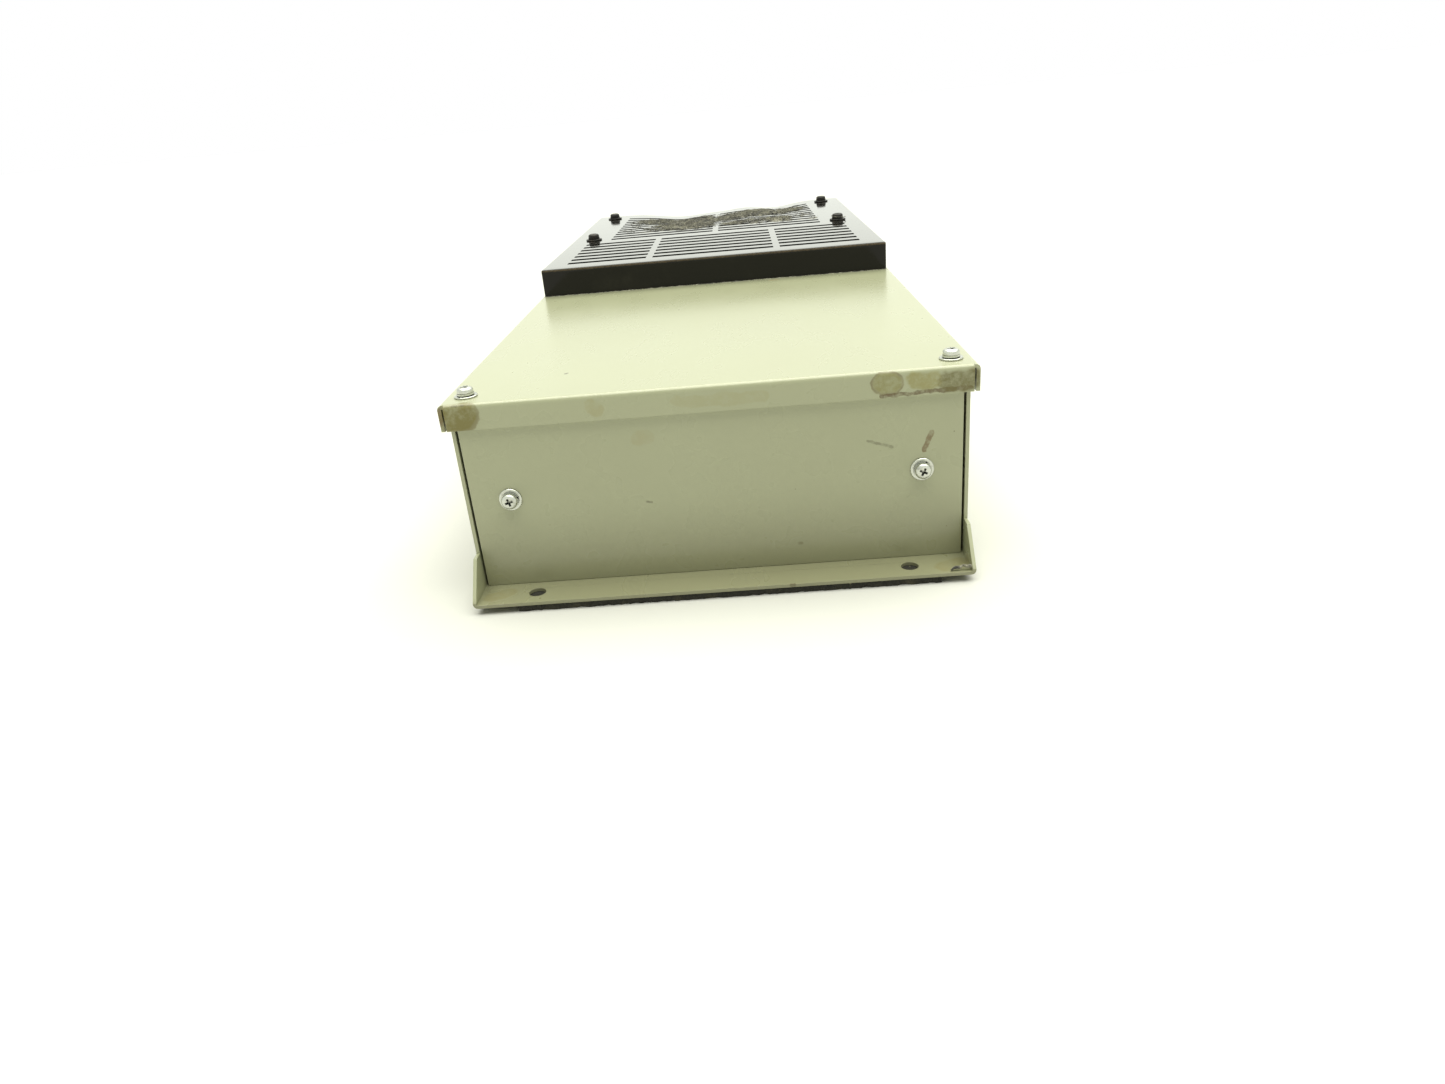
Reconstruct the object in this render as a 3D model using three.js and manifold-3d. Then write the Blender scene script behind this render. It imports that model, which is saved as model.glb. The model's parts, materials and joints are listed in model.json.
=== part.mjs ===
// Chassis variable frequency drive: a folded steel case with a mounting flange at each end,
// a lipped front cover, and a slotted hood over four cooling fans.
// Millimetres. +X is to the right, +Y runs from the plain end to the fan end, +Z points away
// from the mounting panel. The origin is at the middle of the face that meets the panel.

import * as THREE from 'three';
import { mergeVertices } from 'three/addons/utils/BufferGeometryUtils.js';
import Module from 'manifold-3d';

// ---------------------------------------------------------------- driving dimensions

// Case
const cover_width = 225;
const cover_length = 561;
const cover_height = 85.4; // top of the flange to the top of the cover
const sheet = 1.6;
const cover_lip = 11.3;
const flange_depth = 18.9; // face of an end panel to the edge of the flange
const ear_height = 16.5;
const ear_reach = 5.6; // level top of an ear, measured from the end panel
const wall_return = 10; // inward fold along the top of a side wall
const panel_return = 10;
const corner_gap = 0.8; // open corner between two folded lips

// Gasket strips on the back of the case
const gasket_height = 3;
const gasket_end_width = 15;
const gasket_side_width = 10;
const gasket_inset = 0.5;

// Mounting holes in the flanges
const mounting_hole_radius = 3.8;
const mounting_hole_side = 26.8; // from the outside of a side wall
const mounting_hole_out = 9.5; // from the face of an end panel
const gasket_hole_radius = 5;

// Clearances
const seat_gap = 0.05; // faces that rest on each other
const lip_clearance = 0.3; // end lip to end panel
const side_clearance = 1.9; // side lip to side wall
const panel_side_gap = 1; // end panel to side wall
const thread_clearance = 0.3;
const part_gap = 0.3;

// Case screws: M4 pan heads with captive washers
const case_screw = {
  shank: 2,
  length: 8,
  washer: 5,
  washer_height: 0.8,
  head: 3.5,
  head_height: 3.5,
};
const panel_screw_side = 19.9; // from the outside of a side wall
const panel_screw_height = 41.2; // above the flange
const panel_tab_width = 30;
const panel_tab_height = 18;
const cover_screw_side = 9.6; // from the outside of the cover
const cover_screw_in = 12.3; // from the plain end of the cover

// Vent hood
const hood_start = 246.7; // from the plain end of the cover
const hood_far_inset = 0.6;
const hood_side_inset = 2.1;
const hood_height = 16.9;
const hood_wall = 2;
const slot_width = 6.8;
const near_slots = { first: 21, pitch: 15.15, rows: 7, side_margin: 14.4, column_half: 39.75, post: 4.4 };
const far_slots = { first: 135.5, pitch: 14.65, end_margin: 28.3, side_margin: 30.4, post: 4.4 };
const hood_opening_margin = 10; // cover left standing inside the hood's walls

// Hood screws: M5, on hexagonal posts
const hood_screw = {
  shank: 2.5,
  length: 10,
  washer: 6,
  washer_height: 1,
  head: 4.1,
  head_height: 3.8,
};
const hood_screw_side = 16.7; // from the outside of the hood
const hood_screw_first = 138.4; // from the near edge of the hood
const hood_screw_end = 26.3; // from the far edge of the hood
const post_across_flats = 8;
const post_bore_depth = 14;

// Fans
const fan_size = 80;
const fan_height = 25;
const fan_gap = 2; // between two fans
const duct_wall = 2; // thinnest wall of a fan frame
const fan_screw_radius = 2.15;
const fan_screw_inset = 4.25; // from a side of the fan frame
const fan_hub_radius = 17;
const fan_hub_wall = 2;
const fan_hub_height = 19;
const fan_base_height = 3;
const fan_tip_gap = 1.4;
const fan_axial_gap = 1;
const fan_shaft_radius = 1.5;
const fan_bearing_radius = 5;
const fan_running_clearance = 0.2;
const fan_blades = 7;
const blade_thickness = 1.6;
const blade_height = 17;
const strut_width = 3.5;
const tray_deck_height = 57; // underside of the fan tray's deck above the floor
const tray_end_margin = 12; // deck left beyond the outer hood posts

// Heat sink and power modules
const sink_base = 8;
const fin_height = 34;
const fin_thickness = 2;
const fin_pitch = 8;
const sink_side_gap = 12.4; // to a side wall
const module_length = 62;
const module_gap = 10;
const module_side_margin = 18; // from the edge of the heat sink
const rectifier_width = 52;
const inverter_width = 94;
const module_height = 24;
const module_step = 8;
const terminal_block = 9;
const power_board_gap = 8;
const power_board_margin = 8;
const power_board_overhang = 4;
const board_post_radius = 2.5;
const transformer_size = 18;
const transformer_height = 12;

// Capacitor bank
const capacitor_count = 4;
const capacitor_gap = 6.73; // between two cans
const capacitor_wall_gap = 1.3; // outer can to side wall
const capacitor_height = 74;
const clamp_height = 30;
const clamp_margin = 5;
const clamp_skirt = 6;
const clamp_foot = 7;
const clamp_leg = 10;

// Choke, relay and terminals
const choke_start = 62;
const choke_width = 66;
const choke_length = 78;
const choke_height = 62;
const choke_leg = 13;
const left_bay_margin = 10;
const terminal_start = 14;
const terminal_poles = 7;
const terminal_pitch = 11;
const terminal_depth = 26;
const terminal_height = 22;
const relay_size = [28, 38, 32];
const relay_start = 70;
const relay_margin = 8; // from the foot of the control shelf
const ground_stud_radius = 3;
const ground_stud_height = 18;
const ground_nut_radius = 5.6;
const ground_nut_height = 5;
const ground_stud_gap = 8.5; // from the terminal block

// Control shelf
const shelf_start = 30;
const shelf_length = 134;
const shelf_width = 112;
const shelf_deck_height = 60;
const shelf_foot = 9;
const board_thickness = 1.6;
const board_standoff = 4;
const board_margin = 3;
const control_poles = 12;
const control_pitch = 5.08;
const trimmer_size = 9.6;
const trimmer_height = 5;
const trimmer_radius = 3.2;
const trimmer_spacing = 16;
const button_size = 12;
const button_height = 7;
const button_cap_radius = 3.6;
const button_cap_height = 4.5;
const button_travel = 1.5;

// Cable grommets in the left side wall
const grommet_count = 3;
const grommet_first = 35; // from the plain end of the cover
const grommet_pitch = 42;
const grommet_height = 30; // centre above the floor
const grommet_hole = 14;
const grommet_flange = 17;
const grommet_rim = 2.4;

// ---------------------------------------------------------------- derived places

const floor_top = gasket_height + sheet;
const cover_top = floor_top + cover_height;
const cover_under = cover_top - sheet;
const hood_top = cover_top + hood_height;
const cover_half = cover_width / 2;
const cover_end = cover_length / 2;
const body_half = cover_half - sheet - side_clearance;
const body_inner = body_half - sheet;
const panel_face = cover_end - sheet - lip_clearance;
const panel_back = panel_face - sheet;
const flange_edge = panel_face + flange_depth;
const wall_top = cover_under - seat_gap;
const plain_end = -cover_end;
const hood_near = plain_end + hood_start;
const hood_far = cover_end - hood_far_inset;
const hood_length = hood_far - hood_near;
const hood_half = cover_half - hood_side_inset;
const opening_half = hood_half - hood_opening_margin;
const opening_near = hood_near + hood_opening_margin;
const opening_far = hood_far - hood_opening_margin - sheet;
const far_rows = Math.floor((hood_length - far_slots.end_margin - far_slots.first) / far_slots.pitch) + 1;
const far_last = far_slots.first + (far_rows - 1) * far_slots.pitch;
const capacitor_row = 2 * (body_inner - capacitor_wall_gap);
const capacitor_radius = (capacitor_row - (capacitor_count - 1) * capacitor_gap) / (2 * capacitor_count);
const duct_radius = fan_size / 2 - duct_wall;
const fan_screw_pitch = fan_size - 2 * fan_screw_inset;
const fan_pitch = fan_size + fan_gap;
const fan_centre_y = hood_near + (far_slots.first + far_last) / 2;
const panel_screw_x = body_half - panel_screw_side;
const panel_screw_z = floor_top + panel_screw_height;
const cover_screw_x = cover_half - cover_screw_side;
const cover_screw_y = plain_end + cover_screw_in;
const mounting_x = body_half - mounting_hole_side;
const mounting_y = panel_face + mounting_hole_out;
const hood_screw_x = hood_half - hood_screw_side;
const hood_screw_ys = [hood_near + hood_screw_first, hood_far - hood_screw_end];
const tray_deck = floor_top + tray_deck_height;
const tray_near = hood_screw_ys[0] - tray_end_margin;
const tray_far = hood_screw_ys[1] + tray_end_margin;
const fan_floor = tray_deck + sheet + seat_gap;
const sink_half = body_inner - sink_side_gap;
const sink_near = opening_near;
const sink_far = tray_far;
const sink_floor = floor_top + seat_gap;
const module_floor = sink_floor + sink_base + seat_gap;
const module_near = sink_near + module_gap;
const fin_near = module_near + module_length + module_gap;

// ---------------------------------------------------------------- solid helpers

const wasm = await Module();
wasm.setup();

function toSolid(geometry) {
  geometry.deleteAttribute('normal');
  geometry.deleteAttribute('uv');
  const merged = mergeVertices(geometry, 1e-4);
  const corners = merged.index.array;
  const kept = [];
  for (let i = 0; i < corners.length; i += 3) {
    const [a, b, c] = corners.slice(i, i + 3);
    if (a !== b && b !== c && c !== a) {
      kept.push(a, b, c);
    }
  }
  return new wasm.Manifold(new wasm.Mesh({
    numProp: 3,
    vertProperties: new Float32Array(merged.attributes.position.array),
    triVerts: new Uint32Array(kept),
  }));
}

function toGeometry(solid) {
  const mesh = solid.getMesh();
  const geometry = new THREE.BufferGeometry();
  geometry.setAttribute('position', new THREE.BufferAttribute(new Float32Array(mesh.vertProperties), 3));
  geometry.setIndex(new THREE.BufferAttribute(new Uint32Array(mesh.triVerts), 1));
  geometry.computeVertexNormals();
  return geometry;
}

// Two places in either order, as a low and a high one.
function span(a, b) {
  return [Math.min(a, b), Math.max(a, b)];
}

function box([x0, x1], [y0, y1], [z0, z1]) {
  const geometry = new THREE.BoxGeometry(x1 - x0, y1 - y0, z1 - z0);
  geometry.translate((x0 + x1) / 2, (y0 + y1) / 2, (z0 + z1) / 2);
  return toSolid(geometry);
}

const axisTurns = {
  x: new THREE.Matrix4().makeBasis(
    new THREE.Vector3(0, 1, 0),
    new THREE.Vector3(0, 0, 1),
    new THREE.Vector3(1, 0, 0),
  ),
  y: new THREE.Matrix4().makeBasis(
    new THREE.Vector3(0, 0, 1),
    new THREE.Vector3(1, 0, 0),
    new THREE.Vector3(0, 1, 0),
  ),
  z: new THREE.Matrix4(),
};

// An outline in the two axes that follow `axis` in X, Y, Z, X order, drawn out along it.
function prism(outline, axis, from, to, holes = []) {
  const shape = new THREE.Shape(outline.map(([u, v]) => new THREE.Vector2(u, v)));
  shape.holes.push(...holes);
  const geometry = new THREE.ExtrudeGeometry(shape, { depth: to - from, bevelEnabled: false });
  geometry.translate(0, 0, from);
  geometry.applyMatrix4(axisTurns[axis]);
  return toSolid(geometry);
}

// A round bar about a line along `axis`; its flats stand at `radius` when it is used as a cutter.
function bar(radius, axis, from, to, [u, v] = [0, 0], segments = 16, cutter = false) {
  const reach = cutter ? radius / Math.cos(Math.PI / segments) : radius;
  const geometry = new THREE.CylinderGeometry(reach, reach, to - from, segments);
  geometry.rotateX(Math.PI / 2);
  geometry.translate(u, v, (from + to) / 2);
  geometry.applyMatrix4(axisTurns[axis]);
  return toSolid(geometry);
}

function drill(radius, axis, from, to, place, segments = 16) {
  return bar(radius, axis, from, to, place, segments, true);
}

function turned(profile, segments) {
  const geometry = new THREE.LatheGeometry(profile.map(([r, z]) => new THREE.Vector2(r, z)), segments);
  geometry.rotateX(Math.PI / 2);
  return toSolid(geometry);
}

function join(...solids) {
  return solids.reduce((sum, solid) => sum.add(solid));
}

function cut(solid, ...tools) {
  return tools.reduce((left, tool) => left.subtract(tool), solid);
}

// ---------------------------------------------------------------- finishes

const finishes = {
  beige_paint: { color: 0xbab99c, roughness: 0.5, metalness: 0.1 },
  brown_black_plastic: { color: 0x2b2a22, roughness: 0.55, metalness: 0 },
  foam_rubber: { color: 0x2a2a26, roughness: 0.95, metalness: 0 },
  zinc: { color: 0xc9cbd0, roughness: 0.3, metalness: 1 },
  black_oxide: { color: 0x1b1b1c, roughness: 0.45, metalness: 0.8 },
  aluminium: { color: 0xb4b7ba, roughness: 0.4, metalness: 1 },
  black_plastic: { color: 0x161618, roughness: 0.5, metalness: 0 },
  module_resin: { color: 0x6f7276, roughness: 0.5, metalness: 0 },
  capacitor_sleeve: { color: 0x1d2f4a, roughness: 0.4, metalness: 0 },
  silicon_steel: { color: 0x4a4a4c, roughness: 0.55, metalness: 0.7 },
  copper_enamel: { color: 0x8a4a22, roughness: 0.35, metalness: 0.6 },
  green_board: { color: 0x1f5a3a, roughness: 0.4, metalness: 0 },
  green_plastic: { color: 0x2f7a4a, roughness: 0.5, metalness: 0 },
  blue_plastic: { color: 0x2456a0, roughness: 0.45, metalness: 0 },
  red_plastic: { color: 0xa8231c, roughness: 0.4, metalness: 0 },
  white_plastic: { color: 0xd8d8d0, roughness: 0.5, metalness: 0 },
  rubber: { color: 0x1c1c1c, roughness: 0.9, metalness: 0 },
  brass: { color: 0xb08d4a, roughness: 0.35, metalness: 1 },
};

const drive = new THREE.Group();

function addPiece(group, name, solid, finish, position = [0, 0, 0], rotation = [0, 0, 0]) {
  const mesh = new THREE.Mesh(toGeometry(solid), new THREE.MeshStandardMaterial(finishes[finish]));
  mesh.name = name;
  mesh.position.set(...position);
  mesh.rotation.set(...rotation);
  group.add(mesh);
  return mesh;
}

const sides = { left: -1, right: 1 };
const ends = { near: -1, far: 1 };

// ---------------------------------------------------------------- folded steel case

// Side wall seen from the side: level along the case, with an ear sloping down to each flange edge.
function wallOutline() {
  const corner = [panel_face, wall_top];
  const notch = [panel_face, floor_top + ear_height];
  const shoulder = [panel_face + ear_reach, floor_top + ear_height];
  const toe = [flange_edge, floor_top + sheet / 2];
  const foot = [flange_edge, gasket_height];
  const far = [foot, toe, shoulder, notch, corner];
  const near = far.map(([y, z]) => [-y, z]).reverse();
  return [...far, ...near];
}

function basePan() {
  const floor = box([-body_half, body_half], [-flange_edge, flange_edge], [gasket_height, floor_top]);
  const parts = [floor];
  const return_end = panel_back - part_gap;
  for (const side of Object.values(sides)) {
    const outer = side * body_half;
    const inner = side * body_inner;
    parts.push(prism(wallOutline(), 'x', ...span(outer, inner)));
    const fold = side * (body_half - wall_return);
    parts.push(box(span(outer, fold), [-return_end, return_end], [wall_top - sheet, wall_top]));
    const tab_inner = side * (body_half - panel_tab_width);
    for (const end of Object.values(ends)) {
      const tab_front = end * (panel_back - seat_gap);
      const tab_rear = tab_front - end * sheet;
      const tab_z = [panel_screw_z - panel_tab_height / 2, panel_screw_z + panel_tab_height / 2];
      parts.push(box(span(outer, tab_inner), span(tab_front, tab_rear), tab_z));
    }
  }
  const tools = [];
  for (const side of Object.values(sides)) {
    for (const end of Object.values(ends)) {
      const hole = [side * mounting_x, end * mounting_y];
      tools.push(drill(mounting_hole_radius, 'z', gasket_height - 1, floor_top + 1, hole, 20));
    }
    const thread = case_screw.shank + thread_clearance;
    const screw_line = [panel_screw_z, side * panel_screw_x];
    const cover_line = [side * cover_screw_x, cover_screw_y];
    tools.push(drill(thread, 'y', -panel_face, -panel_face + 5 * sheet, screw_line, 12));
    tools.push(drill(thread, 'y', panel_face - 5 * sheet, panel_face, screw_line, 12));
    tools.push(drill(thread, 'z', wall_top - 2 * sheet, wall_top + 1, cover_line, 12));
  }
  for (let i = 0; i < grommet_count; i += 1) {
    const centre = [plain_end + grommet_first + i * grommet_pitch, floor_top + grommet_height];
    tools.push(drill(grommet_hole, 'x', -body_half - 1, -body_inner + 1, centre, 20));
  }
  return cut(join(...parts), ...tools);
}

// An end panel stands between the side walls, with a fold along its top edge.
function endPanel(end) {
  const half = body_inner - panel_side_gap;
  const face = end * panel_face;
  const back = end * panel_back;
  const fold = end * (panel_face - panel_return);
  const fold_half = body_half - wall_return - panel_side_gap;
  const plate = box([-half, half], span(face, back), [floor_top + seat_gap, wall_top]);
  const top = box([-fold_half, fold_half], span(face, fold), [wall_top - sheet, wall_top]);
  const holes = Object.values(sides).map((side) => drill(
    case_screw.shank + thread_clearance,
    'y',
    ...span(face + end, back - end),
    [panel_screw_z, side * panel_screw_x],
    12,
  ));
  return cut(join(plate, top), ...holes);
}

function frontCover() {
  const lip_bottom = cover_top - cover_lip;
  const end_lip_half = cover_half - sheet - corner_gap;
  const lip_z = [lip_bottom, cover_top];
  const deck = box([-cover_half, cover_half], [-cover_end, cover_end], [cover_under, cover_top]);
  const lips = [];
  for (const side of Object.values(sides)) {
    const across = span(side * cover_half, side * (cover_half - sheet));
    lips.push(box(across, [-cover_end, cover_end], lip_z));
  }
  for (const end of Object.values(ends)) {
    const along = span(end * cover_end, end * (cover_end - sheet));
    lips.push(box([-end_lip_half, end_lip_half], along, lip_z));
  }
  const opening_z = [cover_under - 1, cover_top + 1];
  const opening = box([-opening_half, opening_half], [opening_near, opening_far], opening_z);
  const holes = Object.values(sides).map((side) => drill(
    case_screw.shank + thread_clearance,
    'z',
    cover_under - 1,
    cover_top + 1,
    [side * cover_screw_x, cover_screw_y],
    12,
  ));
  return cut(join(deck, ...lips), opening, ...holes);
}

function gasketStrip(axis, end) {
  const outer_y = flange_edge - gasket_inset;
  const inner_y = outer_y - gasket_end_width;
  const outer_x = body_half - gasket_inset;
  const top = gasket_height - seat_gap;
  if (axis === 'y') {
    const strip = box([-outer_x, outer_x], span(end * outer_y, end * inner_y), [0, top]);
    const holes = Object.values(sides).map((side) => drill(
      gasket_hole_radius,
      'z',
      -1,
      gasket_height,
      [side * mounting_x, end * mounting_y],
      14,
    ));
    return cut(strip, ...holes);
  }
  const inner_x = outer_x - gasket_side_width;
  const length = inner_y - part_gap;
  return box(span(end * outer_x, end * inner_x), [-length, length], [0, top]);
}

// ---------------------------------------------------------------- screws, posts and grommets

// Head and captive washer above the seat plane, shank below it, about +Z.
function washerScrew(screw) {
  const head_top = screw.washer_height + screw.head_height;
  const shoulder = head_top - 0.9;
  return turned([
    [0, -screw.length],
    [screw.shank, -screw.length],
    [screw.shank, seat_gap],
    [screw.washer, seat_gap],
    [screw.washer, screw.washer_height],
    [screw.head, screw.washer_height],
    [screw.head, shoulder],
    [screw.head * 0.78, head_top - 0.25],
    [0, head_top],
  ], 12);
}

function hexPost() {
  const bottom = tray_deck + sheet + seat_gap;
  const top = hood_top - hood_wall - seat_gap;
  const corner = post_across_flats / 2 / Math.cos(Math.PI / 6);
  const outline = Array.from({ length: 6 }, (_, i) => {
    const angle = (i * Math.PI) / 3;
    return [corner * Math.cos(angle), corner * Math.sin(angle)];
  });
  const bore = hood_screw.shank + thread_clearance;
  return cut(prism(outline, 'z', bottom, top), drill(bore, 'z', top - post_bore_depth, top + 1, [0, 0], 10));
}

// A moulded grommet with a closed membrane; the wall of the case sits in its groove.
function membraneGrommet() {
  const groove = sheet / 2 + part_gap;
  const neck = grommet_hole - part_gap;
  return turned([
    [0, -groove],
    [neck - 3, -groove],
    [neck - 2, -groove - grommet_rim],
    [grommet_flange - 1, -groove - grommet_rim],
    [grommet_flange - 1, -groove],
    [neck, -groove],
    [neck, groove],
    [grommet_flange, groove],
    [grommet_flange - 1, groove + grommet_rim - part_gap],
    [neck - 2, groove + grommet_rim - part_gap],
    [neck - 4, -groove + 1.2],
    [0, -groove + 1.2],
  ], 16);
}

// ---------------------------------------------------------------- vent hood

function slotRow(columns, y) {
  return columns.map(([x0, x1]) => box(
    [x0, x1],
    [y - slot_width / 2, y + slot_width / 2],
    [hood_top - 2 * hood_wall, hood_top + 1],
  ));
}

function ventHood() {
  const floor = cover_top + seat_gap;
  const shell = box([-hood_half, hood_half], [hood_near, hood_far], [floor, hood_top]);
  const hollow = box(
    [-hood_half + hood_wall, hood_half - hood_wall],
    [hood_near + hood_wall, hood_far - hood_wall],
    [floor - 1, hood_top - hood_wall],
  );
  const near_outer = hood_half - near_slots.side_margin;
  const near_inner = near_slots.column_half + near_slots.post;
  const near_columns = [
    [-near_outer, -near_inner],
    [-near_slots.column_half, near_slots.column_half],
    [near_inner, near_outer],
  ];
  const far_outer = hood_half - far_slots.side_margin;
  const far_columns = [
    [-far_outer, -far_slots.post / 2],
    [far_slots.post / 2, far_outer],
  ];
  const tools = [];
  for (let i = 0; i < near_slots.rows; i += 1) {
    tools.push(...slotRow(near_columns, hood_near + near_slots.first + i * near_slots.pitch));
  }
  for (let i = 0; i < far_rows; i += 1) {
    tools.push(...slotRow(far_columns, hood_near + far_slots.first + i * far_slots.pitch));
  }
  const bore = hood_screw.shank + thread_clearance;
  for (const side of Object.values(sides)) {
    for (const y of hood_screw_ys) {
      tools.push(drill(bore, 'z', hood_top - 2 * hood_wall, hood_top + 1, [side * hood_screw_x, y], 12));
    }
  }
  return cut(shell, hollow, ...tools);
}

// ---------------------------------------------------------------- fans

function fanFrame() {
  const half = fan_size / 2;
  const body = box([-half, half], [-half, half], [0, fan_height]);
  const duct = drill(duct_radius, 'z', -1, fan_height + 1, [0, 0], 28);
  const screws = [];
  for (const x of [-1, 1]) {
    for (const y of [-1, 1]) {
      const place = [(x * fan_screw_pitch) / 2, (y * fan_screw_pitch) / 2];
      screws.push(drill(fan_screw_radius, 'z', -1, fan_height + 1, place, 8));
    }
  }
  const housing = cut(body, duct, ...screws);
  const reach = half - 1;
  const base = bar(fan_hub_radius, 'z', 0, fan_base_height, [0, 0], 20);
  const across = box([-reach, reach], [-strut_width / 2, strut_width / 2], [0, fan_base_height]);
  const along = box([-strut_width / 2, strut_width / 2], [-reach, reach], [0, fan_base_height]);
  const tube_top = fan_base_height + fan_hub_height - fan_hub_wall - fan_axial_gap;
  const tube = bar(fan_bearing_radius, 'z', 0, tube_top, [0, 0], 12);
  const bore = drill(
    fan_shaft_radius + fan_running_clearance,
    'z',
    fan_base_height,
    fan_height,
    [0, 0],
    12,
  );
  return cut(join(housing, base, across, along, tube), bore);
}

// One blade: a cambered section, pitched across the duct and drawn out from hub to tip.
function fanBlade() {
  const root = fan_hub_radius - fan_hub_wall / 2;
  const half_chord = 9;
  const camber = 2;
  const steps = 2;
  const upper = [];
  const lower = [];
  for (let i = 0; i <= steps; i += 1) {
    const t = -1 + (2 * i) / steps;
    const rise = (t * blade_height) / 2;
    const bow = camber * (1 - t * t);
    upper.push([t * half_chord + bow, rise]);
    lower.unshift([t * half_chord + bow + blade_thickness, rise]);
  }
  const blank = prism([...upper, ...lower].reverse(), 'x', root, duct_radius);
  const swept = bar(duct_radius - fan_tip_gap, 'z', -blade_height, blade_height, [0, 0], 56);
  return blank.intersect(swept);
}

function fanRotor() {
  const cup_bottom = fan_base_height + fan_axial_gap;
  const cup_top = cup_bottom + fan_hub_height;
  const inner = fan_hub_radius - fan_hub_wall;
  const cup = turned([
    [0, cup_top - fan_hub_wall],
    [inner, cup_top - fan_hub_wall],
    [inner, cup_bottom],
    [fan_hub_radius, cup_bottom],
    [fan_hub_radius, cup_top - 1],
    [fan_hub_radius - 1, cup_top],
    [0, cup_top],
  ], 20);
  const shaft = bar(fan_shaft_radius, 'z', cup_bottom, cup_top - fan_hub_wall / 2, [0, 0], 12);
  const blade_middle = cup_bottom + fan_hub_height / 2;
  const blade = fanBlade().translate([0, 0, blade_middle]);
  const blades = [];
  for (let i = 0; i < fan_blades; i += 1) {
    blades.push(blade.rotate([0, 0, (360 * i) / fan_blades]));
  }
  return join(cup, shaft, ...blades);
}

// A folded bridge that carries the fans above the heat sink.
function fanTray() {
  const leg_outer = sink_half + part_gap + 3 * sheet;
  const leg_inner = leg_outer - sheet;
  const foot = floor_top + seat_gap;
  const deck = box([-leg_outer, leg_outer], [tray_near, tray_far], [tray_deck, tray_deck + sheet]);
  const parts = [deck];
  for (const side of Object.values(sides)) {
    const leg = span(side * leg_inner, side * leg_outer);
    const toe = span(side * leg_inner, side * (body_inner - part_gap));
    parts.push(box(leg, [tray_near, tray_far], [foot, tray_deck + sheet]));
    parts.push(box(toe, [tray_near, tray_far], [foot, foot + sheet]));
  }
  const ducts = fanPlaces().map(([, x, y]) => drill(duct_radius, 'z', tray_deck - 1, fan_floor, [x, y], 28));
  return cut(join(...parts), ...ducts);
}

function fanPlaces() {
  const places = [];
  for (const [end_name, end] of Object.entries(ends)) {
    for (const [side_name, side] of Object.entries(sides)) {
      const x = (side * fan_pitch) / 2;
      const y = fan_centre_y + (end * fan_pitch) / 2;
      places.push([`${end_name}_${side_name}`, x, y]);
    }
  }
  return places;
}

// ---------------------------------------------------------------- power section

function heatSink() {
  const plate = box([-sink_half, sink_half], [sink_near, sink_far], [sink_floor, sink_floor + sink_base]);
  const count = Math.floor((2 * sink_half - fin_thickness) / fin_pitch) + 1;
  const first = (-(count - 1) * fin_pitch) / 2;
  const fins = [];
  for (let i = 0; i < count; i += 1) {
    const x = first + i * fin_pitch;
    fins.push(box(
      [x - fin_thickness / 2, x + fin_thickness / 2],
      [fin_near, sink_far],
      [sink_floor + sink_base / 2, sink_floor + sink_base + fin_height],
    ));
  }
  return join(plate, ...fins);
}

// A potted power module: a stepped block with a row of raised screw terminals.
function powerModule(width, terminals) {
  const half = width / 2;
  const step = module_step;
  const body = box([-half, half], [0, module_length], [0, module_height * 0.6]);
  const upper_y = [step, module_length - step];
  const upper = box([-half + step / 2, half - step / 2], upper_y, [0, module_height - 3]);
  const parts = [body, upper];
  const pitch = (width - 2 * terminal_block) / (terminals - 1);
  const terminal_y = [(module_length - terminal_block) / 2, (module_length + terminal_block) / 2];
  for (let i = 0; i < terminals; i += 1) {
    const x = -half + terminal_block + i * pitch;
    parts.push(box([x - terminal_block / 2, x + terminal_block / 2], terminal_y, [0, module_height]));
  }
  return join(...parts);
}

function powerBoard() {
  const z = module_floor + module_height + power_board_gap;
  const half = sink_half - power_board_margin;
  const edge = [module_near - power_board_overhang, module_near + module_length + power_board_overhang];
  const parts = [box([-half, half], edge, [z, z + board_thickness])];
  const middle = module_near + module_length / 2;
  for (const share of [-0.75, -0.25, 0.25, 0.75]) {
    const x = share * half;
    parts.push(box(
      [x - transformer_size / 2, x + transformer_size / 2],
      [middle - transformer_size / 2, middle + transformer_size / 2],
      [z, z + transformer_height],
    ));
  }
  for (const side of Object.values(sides)) {
    const x = side * (half - 2 * board_post_radius);
    for (const y of [module_near, module_near + module_length]) {
      parts.push(bar(board_post_radius, 'z', module_floor, z + board_thickness / 2, [x, y], 8));
    }
  }
  return join(...parts);
}

function capacitor() {
  const bottom = floor_top + seat_gap;
  const top = bottom + capacitor_height;
  const can = turned([
    [0, bottom],
    [capacitor_radius - 1, bottom],
    [capacitor_radius, bottom + 1],
    [capacitor_radius, top - 6],
    [capacitor_radius - 1.2, top - 5],
    [capacitor_radius, top - 4],
    [capacitor_radius, top - 2.5],
    [0, top - 2.5],
  ], 20);
  const terminals = [-1, 1].map((side) => bar(4, 'z', top - 4, top, [side * 10, 0], 10));
  return join(can, ...terminals);
}

function capacitorPlaces() {
  const pitch = 2 * capacitor_radius + capacitor_gap;
  const first = (-pitch * (capacitor_count - 1)) / 2;
  return Array.from({ length: capacitor_count }, (_, i) => first + i * pitch);
}

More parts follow.
